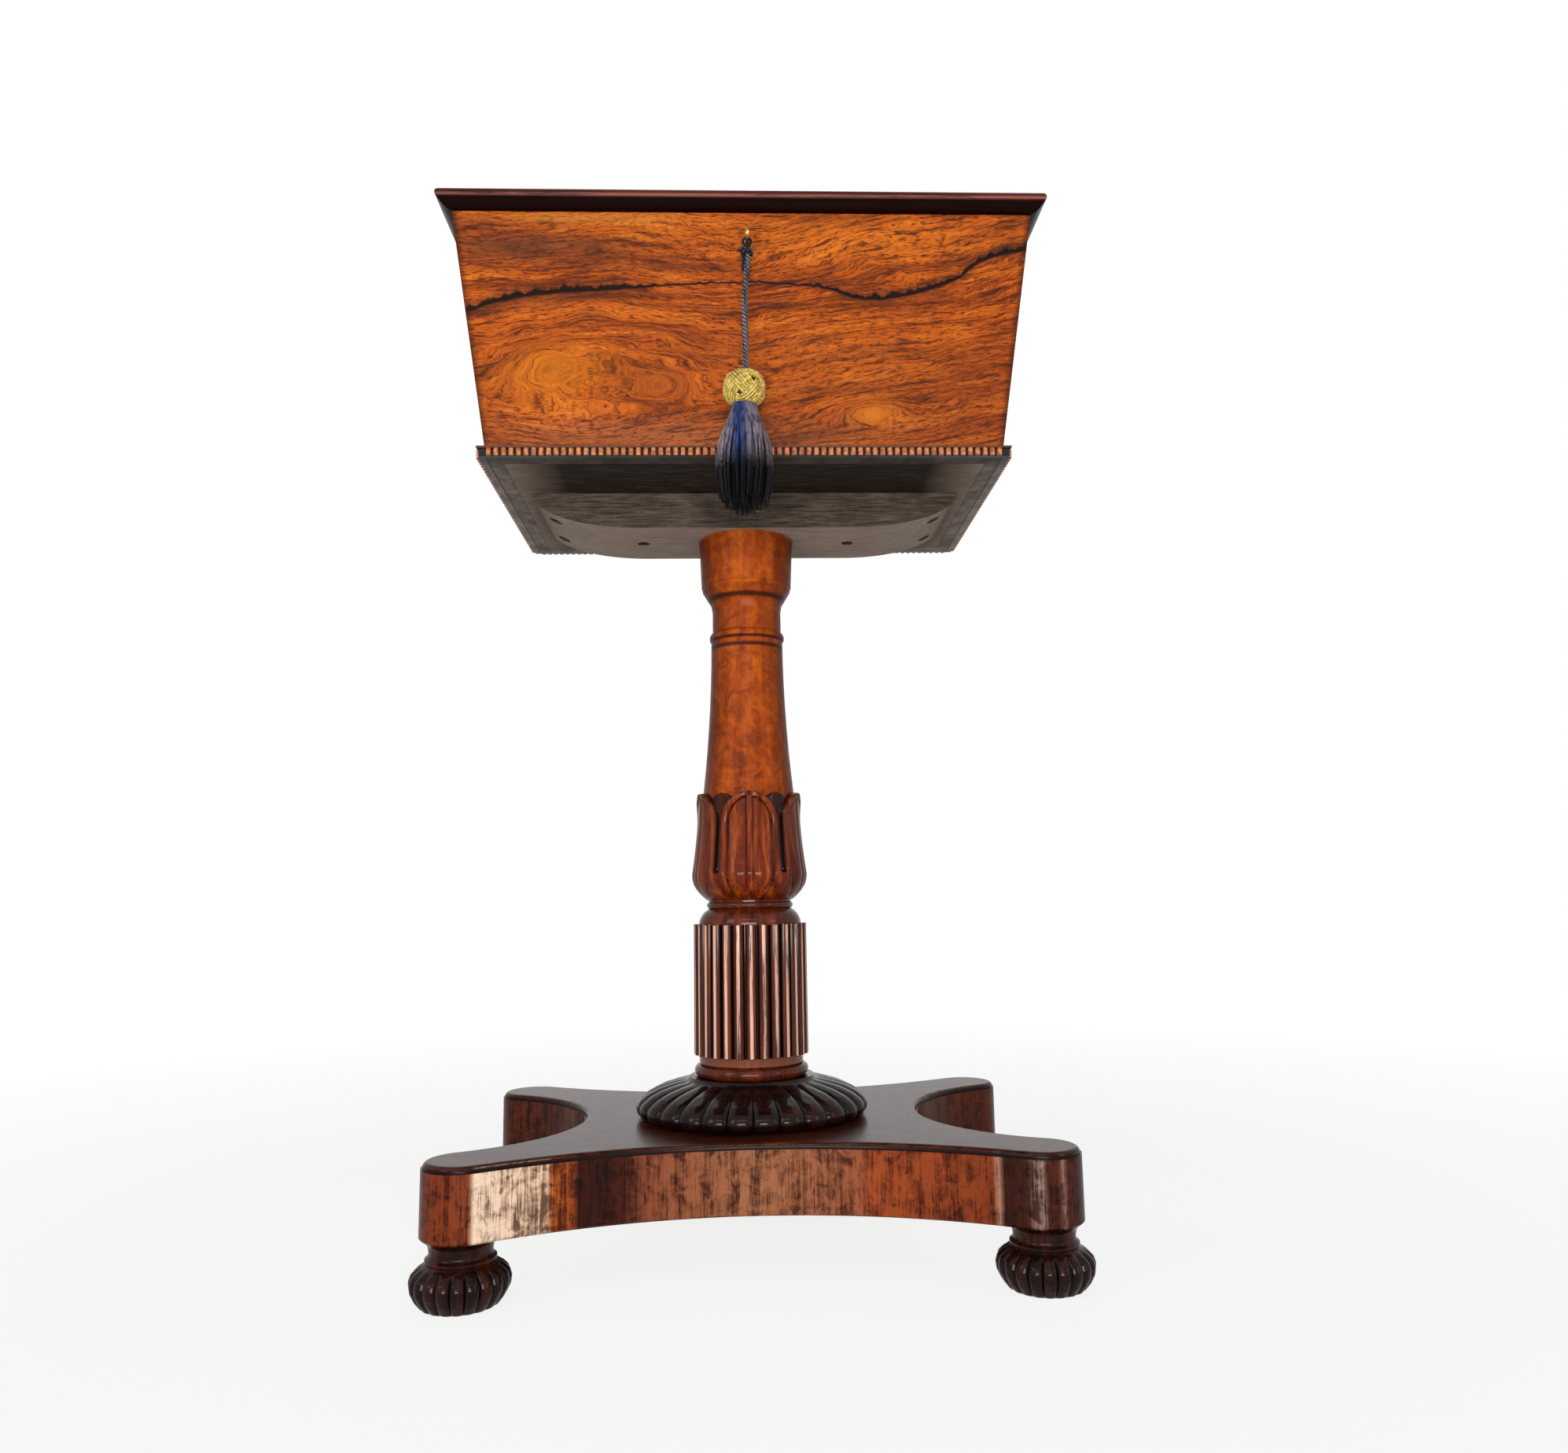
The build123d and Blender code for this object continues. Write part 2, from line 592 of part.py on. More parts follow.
def case_board(side):
    """One mitred wall of the chest."""
    with BuildPart() as board:
        add(battered_block(CASE_Z, CASE_TOP, 0))
        add(battered_block(CASE_Z, CASE_TOP, WALL), mode=Mode.SUBTRACT)
        for plane in mitre_planes(side):
            split(bisect_by=plane, keep=Keep.BOTTOM)
    return board.part


def hinge_plates(z_low):
    """Rectangles on a level plane for the hinge leaves let into a board's edge."""
    with BuildSketch(Plane.XY.offset(z_low)) as plates:
        with Locations((-HINGE_X, BACK_Y - LEAF_PLATE_REACH / 2), (HINGE_X, BACK_Y - LEAF_PLATE_REACH / 2)):
            Rectangle(LEAF_PLATE_L, LEAF_PLATE_REACH)
    return plates.sketch


save(case_board("left"), "case_left")
save(case_board("right"), "case_right")

with BuildPart() as case_back:
    add(case_board("back"))
    add(hinge_plates(CASE_TOP))
    extrude(amount=-(LEAF_PLATE_T), mode=Mode.SUBTRACT)
save(case_back.part, "case_back")

with BuildPart() as case_front:
    add(case_board("front"))
    with BuildSketch(key_plane(FRONT_AT_KEY - WALL)):
        draw_keyhole(0)
    extrude(amount=-2 * WALL, mode=Mode.SUBTRACT)
    with BuildSketch(key_plane(FRONT_AT_KEY + ESCUTCHEON_DEPTH)):
        draw_keyhole(ESCUTCHEON_T)
    extrude(amount=2 * ESCUTCHEON_DEPTH, mode=Mode.SUBTRACT)
    with BuildSketch(Plane.XY.offset(CASE_TOP)):
        with Locations((KEY_X, LOCK_Y + LOCK_T)):
            Rectangle(2 * LOCK_HALF_W, 3 * LOCK_T)
    extrude(amount=-(CASE_TOP - LOCK_Z), mode=Mode.SUBTRACT)
save(case_front.part, "case_front")


def bead_strip(length_half, depth_half, side):
    """Mitred strip of upright beads on a fillet, seated on the foot of one wall."""
    face = depth_half + BEAD_BACK
    count = 2 * int((length_half + BEAD_BACK) / BEAD_PITCH)
    points = [(-length_half - 2 * BEAD_BACK, 0), (-length_half - 2 * BEAD_BACK, -face)]
    for i in range(count):
        x = (i - (count - 1) / 2) * BEAD_PITCH
        half = BEAD_W / 2
        points += [(x - half, -face), (x - 0.6 * half, -face - BEAD_OUT)]
        points += [(x + 0.6 * half, -face - BEAD_OUT), (x + half, -face)]
    points += [(length_half + 2 * BEAD_BACK, -face), (length_half + 2 * BEAD_BACK, 0)]
    turn = {"front": 0, "right": 90, "back": 180, "left": 270}[side]
    with BuildPart() as strip:
        with BuildSketch(Plane.XY.offset(CASE_Z).rotated((0, 0, turn))):
            with BuildLine():
                Polyline(*points, close=True)
            make_face()
        extrude(amount=BEAD_STRIP_H - BEAD_CAP_H)
        cap = face + BEAD_CAP_OUT
        with BuildSketch(Plane.XY.offset(CASE_Z + BEAD_STRIP_H - BEAD_CAP_H).rotated((0, 0, turn))):
            with Locations((0, -cap / 2)):
                Rectangle(2 * (length_half + 2 * BEAD_BACK), cap)
        extrude(amount=BEAD_CAP_H)
        for plane in mitre_planes(side):
            split(bisect_by=plane, keep=Keep.BOTTOM)
        add(battered_block(CASE_Z - 1, CASE_Z + BEAD_STRIP_H + 1, 0), mode=Mode.SUBTRACT)
    return strip.part


for side in ("front", "back"):
    save(bead_strip(half_width(CASE_Z), half_depth(CASE_Z), side), f"bead_strip_{side}")
for side in ("left", "right"):
    save(bead_strip(half_depth(CASE_Z), half_width(CASE_Z), side), f"bead_strip_{side}")

# ================================================================ fittings inside the chest

with BuildPart() as deck:
    add(battered_block(DECK_Z, DECK_Z + DECK_T, WALL))
    with BuildSketch(Plane.XY.offset(DECK_Z)):
        with GridLocations(2 * CADDY_X, 2 * CADDY_Y, 2, 2):
            Rectangle(CADDY_W + 2 * CADDY_PLAY, CADDY_D + 2 * CADDY_PLAY)
        with GridLocations(0, 2 * BOWL_Y, 1, 2):
            Circle(BOWL_R + CADDY_PLAY)
    extrude(amount=DECK_T, mode=Mode.SUBTRACT)
save(deck.part, "inner_deck")

inner_block = battered_block(FLOOR_Z, DECK_Z, WALL)
for name, sx in (("left", -1), ("right", 1)):
    with BuildPart() as divider:
        with BuildSketch(Plane.XY.offset(FLOOR_Z)):
            with Locations((sx * DIVIDER_X, 0)):
                Rectangle(DIVIDER_T, 2 * CASE_HALF_D)
        extrude(amount=DECK_Z - FLOOR_Z)
        add(inner_block, mode=Mode.INTERSECT)
    save(divider.part, f"divider_{name}")

CADDY_TOP = DECK_Z + DECK_T + CADDY_RISE
with BuildPart() as caddy:
    with BuildSketch(Plane.XY.offset(FLOOR_Z)):
        Rectangle(CADDY_W, CADDY_D)
    extrude(amount=CADDY_TOP - FLOOR_Z)
    with BuildSketch(Plane.XY.offset(FLOOR_Z + CADDY_WALL)):
        Rectangle(CADDY_W - 2 * CADDY_WALL, CADDY_D - 2 * CADDY_WALL)
    extrude(amount=CADDY_TOP - FLOOR_Z, mode=Mode.SUBTRACT)
with BuildPart() as caddy_lid:
    with BuildSketch(Plane.XY.offset(CADDY_TOP)):
        Rectangle(CADDY_W, CADDY_D)
    extrude(amount=CADDY_LID_T)
    chamfer(caddy_lid.faces().sort_by(Axis.Z)[-1].edges(), 3)
    with BuildSketch(Plane.XY.offset(CADDY_TOP)):
        Rectangle(CADDY_W - 2 * CADDY_WALL - 2 * GAP, CADDY_D - 2 * CADDY_WALL - 2 * GAP)
    extrude(amount=-CADDY_LID_LAP)
    with BuildSketch(Plane.XZ):
        with BuildLine():
            knob_z = CADDY_TOP + CADDY_LID_T
            k1 = Polyline((0, knob_z - 1), (4.5, knob_z - 1), (3.2, knob_z + 3))
            k2 = Line(k1 @ 1, (CADDY_KNOB_R - 2, knob_z + 0.4 * CADDY_KNOB_H))
            k3 = ThreePointArc(
                k2 @ 1,
                (CADDY_KNOB_R, knob_z + 0.65 * CADDY_KNOB_H),
                (2, knob_z + CADDY_KNOB_H),
            )
            Polyline(k3 @ 1, (0, knob_z + CADDY_KNOB_H), k1 @ 0)
        make_face()
    revolve(axis=Axis.Z)
for name, sx, sy in (("fl", -1, -1), ("fr", 1, -1), ("bl", -1, 1), ("br", 1, 1)):
    place = Location((sx * CADDY_X, sy * CADDY_Y, 0))
    save(caddy.part.moved(place), f"caddy_{name}")
    save(caddy_lid.part.moved(place), f"caddy_lid_{name}")

RIM_Z = DECK_Z + DECK_T
with BuildPart() as bowl:
    with BuildSketch(Plane.XZ):
        with BuildLine():
            low = RIM_Z - BOWL_DEPTH
            b1 = Polyline((0, low), (BOWL_FOOT_R, low), (BOWL_FOOT_R, low + 3), (BOWL_FOOT_R + 4, low + 5))
            b2 = TangentArc((BOWL_R, RIM_Z), b1 @ 1, tangent=(0, -1))
            b3 = Polyline(
                b2 @ 0,
                (BOWL_RIM_R, RIM_Z),
                (BOWL_RIM_R, RIM_Z + BOWL_RIM_T),
                (BOWL_R - BOWL_WALL, RIM_Z + BOWL_RIM_T),
                (BOWL_R - BOWL_WALL, RIM_Z),
            )
            b4 = TangentArc(b3 @ 1, (BOWL_FOOT_R, low + 3 + BOWL_WALL), tangent=(0, -1))
            Polyline(b4 @ 1, (0, low + 3 + BOWL_WALL), (0, low))
        make_face()
    revolve(axis=Axis.Z)
for name, sy in (("front", -1), ("back", 1)):
    save(bowl.part.moved(Location((0, sy * BOWL_Y, 0))), f"mixing_bowl_{name}")

# ================================================================ lid

LUG_PLATE_T = LEAF_PLATE_T
with BuildPart() as lid_board:
    with BuildSketch(Plane.XY.offset(LID_Z)):
        with Locations((0, LID_INSET / 2)):
            Rectangle(2 * (CASE_HALF_W - LID_INSET), 2 * CASE_HALF_D - LID_INSET)
    extrude(amount=LID_T)
    add(hinge_plates(LID_Z))
    extrude(amount=LEAF_PLATE_T, mode=Mode.SUBTRACT)
    with BuildSketch(Plane.XY.offset(LID_Z)):
        with Locations((KEY_X, LOCK_Y)):
            Rectangle(2 * LOCK_HALF_W, LOCK_T)
    extrude(amount=LUG_PLATE_T, mode=Mode.SUBTRACT)
save(lid_board.part, "lid_board")

with BuildPart() as lid_panel:
    with BuildSketch(Plane.XY.offset(LID_TOP)):
        panel_w = 2 * (CASE_HALF_W + LID_OVERHANG - LID_PANEL_IN)
        panel_front = -(CASE_HALF_D + LID_OVERHANG - LID_PANEL_IN)
        with Locations((0, (BACK_Y + panel_front) / 2)):
            Rectangle(panel_w, BACK_Y - panel_front)
    extrude(amount=LID_PANEL_T)
    fillet(lid_panel.faces().sort_by(Axis.Z)[-1].edges(), 1)
save(lid_panel.part, "lid_panel")


def lid_moulding(side):
    """One length of the lid's nosed edge moulding, mitred at the front corners."""
    turn = {"front": 0, "right": 90, "left": 270}[side]
    inner = (CASE_HALF_D if side == "front" else CASE_HALF_W) - LID_INSET
    reach = CASE_HALF_W + 2 * NOSE
    with BuildPart() as moulding:
        with BuildSketch(Plane.YZ.rotated((0, 0, turn))):
            with BuildLine():
                under = (-inner - NOSE + 2.7, LID_Z + 4.0)
                lip = (-inner - NOSE + 0.9, LID_Z + 6.0)
                m1 = Polyline((-inner, LID_TOP), (-inner, LID_Z), (-inner - LID_INSET - 0.8, LID_Z))
                m2 = ThreePointArc(m1 @ 1, (-inner - NOSE + 5.2, LID_Z + 1.5), under)
                m3 = Line(m2 @ 1, lip)
                m4 = ThreePointArc(m3 @ 1, (-inner - NOSE, LID_Z + 8.6), (-inner - NOSE + 3.9, LID_TOP))
                Line(m4 @ 1, m1 @ 0)
            make_face()
        extrude(amount=reach, both=True)
        for plane in mitre_planes(side)[: 2 if side == "front" else 1]:
            split(bisect_by=plane, keep=Keep.BOTTOM)
        split(bisect_by=Plane.XZ.offset(-BACK_Y), keep=Keep.TOP)
    return moulding.part


for side in ("front", "left", "right"):
    save(lid_moulding(side), f"lid_moulding_{side}")

# ================================================================ hinges

for name, sx in (("left", -1), ("right", 1)):
    part_l = LEAF_PLATE_L / KNUCKLE_PARTS
    for leaf, z_low, knuckles in (
        ("case", CASE_TOP - LEAF_PLATE_T, (-1, 1)),
        ("lid", LID_Z, (0,)),
    ):
        with BuildPart() as plate:
            with BuildSketch(Plane.XY.offset(z_low)):
                with Locations((sx * HINGE_X, BACK_Y - LEAF_PLATE_REACH / 2)):
                    Rectangle(LEAF_PLATE_L, LEAF_PLATE_REACH)
            extrude(amount=LEAF_PLATE_T)
            for k in knuckles:
                middle = sx * HINGE_X + k * part_l
                with BuildSketch(Plane.XY.offset(z_low)):
                    with Locations((middle, (BACK_Y + HINGE_Y) / 2)):
                        Rectangle(part_l - GAP, HINGE_Y - BACK_Y)
                extrude(amount=LEAF_PLATE_T)
                with BuildSketch(Plane(origin=(middle, HINGE_Y, HINGE_Z), z_dir=(1, 0, 0))):
                    Circle(KNUCKLE_R)
                extrude(amount=(part_l - GAP) / 2, both=True)
            with BuildSketch(Plane(origin=(sx * HINGE_X, HINGE_Y, HINGE_Z), z_dir=(1, 0, 0))):
                Circle(PIN_R + RUN)
            extrude(amount=LEAF_PLATE_L, both=True, mode=Mode.SUBTRACT)
        save(plate.part, f"hinge_{leaf}_leaf_{name}")
    with BuildPart() as pin:
        with BuildSketch(Plane(origin=(sx * HINGE_X, HINGE_Y, HINGE_Z), z_dir=(1, 0, 0))):
            Circle(PIN_R)
        extrude(amount=LEAF_PLATE_L / 2, both=True)
    save(pin.part, f"hinge_pin_{name}")

# ================================================================ lock

LUG_LOW = LID_Z - LUG_DROP
EYE_LOW = LUG_LOW + LUG_BAR
FINGER_Z = (EYE_LOW + GAP, EYE_LOW + LUG_EYE_H - GAP)
BAR_TOP = LUG_LOW - GAP
ROOM_LOW = BAR_TOP - BOLT_BAR_H - GAP
with BuildPart() as lock_body:
    with BuildSketch(Plane.XY.offset(LOCK_Z)):
        with Locations((KEY_X, LOCK_Y)):
            Rectangle(2 * LOCK_HALF_W, LOCK_T)
    extrude(amount=CASE_TOP - LOCK_Z)
    with BuildSketch(Plane.XY.offset(ROOM_LOW)):
        with Locations((KEY_X, LOCK_Y)):
            Rectangle(2 * (LOCK_HALF_W - LOCK_WALL), LOCK_ROOM_Y[1] - LOCK_ROOM_Y[0])
    extrude(amount=CASE_TOP - ROOM_LOW, mode=Mode.SUBTRACT)
    with BuildSketch(key_plane(LOCK_ROOM_Y[1])):
        Circle(KEY_BIT_L + GAP)
    extrude(amount=LOCK_ROOM_Y[1] - LOCK_ROOM_Y[0], mode=Mode.SUBTRACT)
    with BuildSketch(key_plane(LOCK_Y)):
        draw_keyhole(0)
    extrude(amount=LOCK_T, mode=Mode.SUBTRACT)
save(lock_body.part, "lock_body")

lug_places = [KEY_X - LUG_PITCH / 2, KEY_X + LUG_PITCH / 2]
with BuildPart() as link_plate:
    with BuildSketch(Plane.XY.offset(LID_Z)):
        with Locations((KEY_X, LOCK_Y)):
            Rectangle(2 * LOCK_HALF_W, LOCK_T)
    extrude(amount=LUG_PLATE_T)
    with BuildSketch(Plane.XY.offset(LID_Z)):
        with Locations(*[(x, LOCK_Y) for x in lug_places]):
            Rectangle(LUG_T, LUG_W)
    extrude(amount=-LUG_DROP)
    with BuildSketch(Plane.YZ.offset(KEY_X)):
        with Locations((LOCK_Y, EYE_LOW + LUG_EYE_H / 2)):
            Rectangle(LUG_EYE_W, LUG_EYE_H)
    extrude(amount=LUG_PITCH, both=True, mode=Mode.SUBTRACT)
save(link_plate.part, "lock_link_plate")

with BuildPart() as bolt:
    with BuildSketch(Plane.XZ.offset(-LOCK_Y)):
        with BuildLine():
            left = lug_places[0] - LUG_T / 2 - BOLT_TRAVEL - GAP - 2.5
            Polyline(
                (left, BAR_TOP - BOLT_BAR_H),
                (lug_places[1] + 4, BAR_TOP - BOLT_BAR_H),
                (lug_places[1] + 4, BAR_TOP),
                (left, BAR_TOP),
                close=True,
            )
        make_face()
        for x in lug_places:
            post_right = x - LUG_T / 2 - BOLT_TRAVEL - GAP
            with Locations((post_right - 1.25, (BAR_TOP - 1 + FINGER_Z[1]) / 2)):
                Rectangle(2.5, FINGER_Z[1] - BAR_TOP + 1)
            with Locations((post_right + BOLT_FINGER_L / 2 - 0.5, (FINGER_Z[0] + FINGER_Z[1]) / 2)):
                Rectangle(BOLT_FINGER_L + 1, FINGER_Z[1] - FINGER_Z[0])
    extrude(amount=BOLT_T / 2, both=True)
save(bolt.part, "lock_bolt")

with BuildPart() as escutcheon:
    with BuildSketch(key_plane(FRONT_AT_KEY + ESCUTCHEON_DEPTH)):
        draw_keyhole(ESCUTCHEON_T)
    extrude(amount=2 * ESCUTCHEON_DEPTH)
    with BuildSketch(key_plane(FRONT_AT_KEY + ESCUTCHEON_DEPTH)):
        draw_keyhole(0)
    extrude(amount=2 * ESCUTCHEON_DEPTH, mode=Mode.SUBTRACT)
    add(battered_block(CASE_Z, CASE_TOP, 0), mode=Mode.INTERSECT)
save(escutcheon.part, "escutcheon")

# ================================================================ key, on its own turning axis

with BuildPart() as key:
    with BuildSketch(key_plane(LOCK_ROOM_Y[1] - GAP)):
        Circle(KEY_SHANK_R)
    extrude(amount=LOCK_ROOM_Y[1] - GAP - BOW_Y - BOW_HALF_L + 1)
    with BuildSketch(key_plane(FRONT_AT_KEY - GAP - 1)):
        Circle(KEY_SHANK_R + 1.4)
    extrude(amount=1.6)
    with BuildSketch(key_plane(LOCK_Y + KEY_BIT_W / 2)):
        with Locations((0, -KEY_BIT_L / 2)):
            Rectangle(KEY_BIT_T, KEY_BIT_L)
    extrude(amount=KEY_BIT_W)
    with BuildSketch(Plane.YZ.offset(KEY_X)):
        with Locations((BOW_Y, KEY_Z)):
            Ellipse(BOW_HALF_L, BOW_HALF_H)
            Ellipse(BOW_HALF_L - BOW_WIRE, BOW_HALF_H - BOW_WIRE, mode=Mode.SUBTRACT)
    extrude(amount=BOW_T / 2, both=True)
save(key.part, "key")

# ================================================================ cord loop, hitch, cord and tassel

with BuildPart() as cord_loop:
    with BuildSketch(Plane(origin=(KEY_X + LOOP_MID_R, BOW_Y, LOOP_Z), z_dir=(0, 0, 1))):
        Circle(LOOP_CORD_R)
    revolve(axis=Axis((KEY_X, BOW_Y, LOOP_Z), (0, 1, 0)))
save(cord_loop.part, "cord_loop")

with BuildPart() as hitch:
    with BuildSketch(Plane(origin=(KEY_X, BOW_Y, 0), x_dir=(1, 0, 0), z_dir=(0, -1, 0))):
        with BuildLine():
            top = HITCH_Z + HITCH_H
            t1 = Line((0, top), (0.7 * HITCH_R, top))
            t2 = ThreePointArc(t1 @ 1, (HITCH_R, HITCH_Z + HITCH_H / 2), (CORD_R, HITCH_Z))
            Polyline(t2 @ 1, (0, HITCH_Z), (0, top))
        make_face()
    revolve(axis=Axis((KEY_X, BOW_Y, 0), (0, 0, 1)))
save(hitch.part, "cord_hitch")

# The cord hangs from the hitch and runs down through the tassel's head to the knot of its skirt.
cord_route = [
    (KEY_X, BOW_Y, HITCH_Z - FIT),
    (KEY_X, BOW_Y, HITCH_Z - 13),
    (KEY_X - 2.8, BOW_Y, HITCH_Z - 36),
    (KEY_X - 1.9, BOW_Y, HITCH_Z - 62),
    (KEY_X - CORD_DRIFT, BOW_Y, HITCH_Z - 90),
    (KEY_X - CORD_DRIFT, BOW_Y, HEAD_Z + FIT),
]
points = [Vector(*p) for p in cord_route]
radii = []
for before, here, after in zip(points, points[1:], points[2:]):
    turn = (here - before).get_angle(after - here)
    shorter = min((here - before).length, (after - here).length)
    radii.append(0.45 * shorter / math.tan(math.radians(turn) / 2))
print("cord corner radii", [round(r, 1) for r in radii])
with BuildPart() as cord:
    with BuildLine() as path:
        FilletPolyline(*cord_route, radius=radii)
    with BuildSketch(Plane(origin=path.wires()[0] @ 0, z_dir=path.wires()[0] % 0)):
        Circle(CORD_R)
    sweep(path=path.wires()[0])
cord_length = path.wires()[0].length
print("cord length", cord_length, "volume ratio", cord.part.volume / (math.pi * CORD_R**2 * cord_length))
save(cord.part, "cord")

with BuildPart() as tassel_head:
    with BuildSketch(Plane(origin=(HEAD_X, BOW_Y, 0), x_dir=(1, 0, 0), z_dir=(0, -1, 0))):
        with BuildLine():
            top = HITCH_Z - CORD_DROP - FIT
            low = HEAD_Z
            e1 = Line((0, top), (0.3 * HEAD_HALF_W, top))
            e2 = Spline(
                e1 @ 1,
                (0.8 * HEAD_HALF_W, top - 0.12 * HEAD_H),
                (HEAD_HALF_W, (top + low) / 2),
                (0.9 * HEAD_HALF_W, low + 0.16 * HEAD_H),
                (SKIRT_NECK_R, low),
            )
            Polyline(e2 @ 1, (0, low), (0, top))
        make_face()
    revolve(axis=Axis((HEAD_X, BOW_Y, 0), (0, 0, 1)))
    with BuildSketch(Plane.XY.offset(HEAD_Z)):
        with Locations((KEY_X - CORD_DRIFT, BOW_Y)):
            Circle(CORD_R + GAP)
    extrude(amount=HEAD_H, mode=Mode.SUBTRACT)
save(tassel_head.part, "tassel_head")

with BuildPart() as skirt:
    with BuildSketch(Plane(origin=(HEAD_X, BOW_Y, 0), x_dir=(1, 0, 0), z_dir=(0, -1, 0))):
        with BuildLine():
            s1 = Line((0, HEAD_Z), (SKIRT_NECK_R, HEAD_Z))
            s2 = Spline(
                s1 @ 1,
                (0.86 * SKIRT_R, HEAD_Z - 0.4 * SKIRT_H),
                (SKIRT_R, HEAD_Z - 0.65 * SKIRT_H),
                (0.6 * SKIRT_R, HEAD_Z - SKIRT_H),
            )
            Polyline(s2 @ 1, (0, HEAD_Z - SKIRT_H), (0, HEAD_Z))
        make_face()
    revolve(axis=Axis((HEAD_X, BOW_Y, 0), (0, 0, 1)))
save(skirt.part, "tassel_skirt")
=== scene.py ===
"""A teapoy in figured rosewood: its finishes, carving, silk tassel, camera and light."""

import logging
import math
import random
from dataclasses import dataclass
from enum import Enum
from typing import Callable

import bpy
import numpy as np
from mathutils import Matrix, Vector


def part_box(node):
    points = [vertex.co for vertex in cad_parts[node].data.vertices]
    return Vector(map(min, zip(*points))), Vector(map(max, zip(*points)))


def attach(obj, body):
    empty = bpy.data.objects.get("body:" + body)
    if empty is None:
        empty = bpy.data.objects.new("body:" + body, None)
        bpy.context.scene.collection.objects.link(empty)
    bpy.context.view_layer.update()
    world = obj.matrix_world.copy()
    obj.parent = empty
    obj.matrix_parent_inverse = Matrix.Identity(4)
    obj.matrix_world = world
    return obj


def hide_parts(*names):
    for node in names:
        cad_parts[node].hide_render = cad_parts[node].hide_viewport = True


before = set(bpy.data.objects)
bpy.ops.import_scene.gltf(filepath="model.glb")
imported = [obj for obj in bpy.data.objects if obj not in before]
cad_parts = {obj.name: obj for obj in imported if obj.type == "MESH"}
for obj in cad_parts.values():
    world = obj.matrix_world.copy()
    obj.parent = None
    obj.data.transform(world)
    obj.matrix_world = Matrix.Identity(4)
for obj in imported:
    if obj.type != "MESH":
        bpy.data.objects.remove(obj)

MM = 0.001
PHOTO_WIDTH = 1994
CASE_BATTER = 0.13165
CASE_TOP_Z = 760.5
HEAD_BALL = 13.4
log = logging.getLogger("teapoy")


# ------------------------------------------------------------------ colours and nodes


def linear(tone: str) -> tuple[float, float, float, float]:
    """Turn an sRGB hex colour into linear RGBA.

    Args:
        tone: Colour as "#RRGGBB".

    Returns:
        The linear colour with an alpha of 1.
    """
    parts = [int(tone[i : i + 2], 16) / 255 for i in (1, 3, 5)]
    return (*[c / 12.92 if c <= 0.04045 else ((c + 0.055) / 1.055) ** 2.4 for c in parts], 1.0)


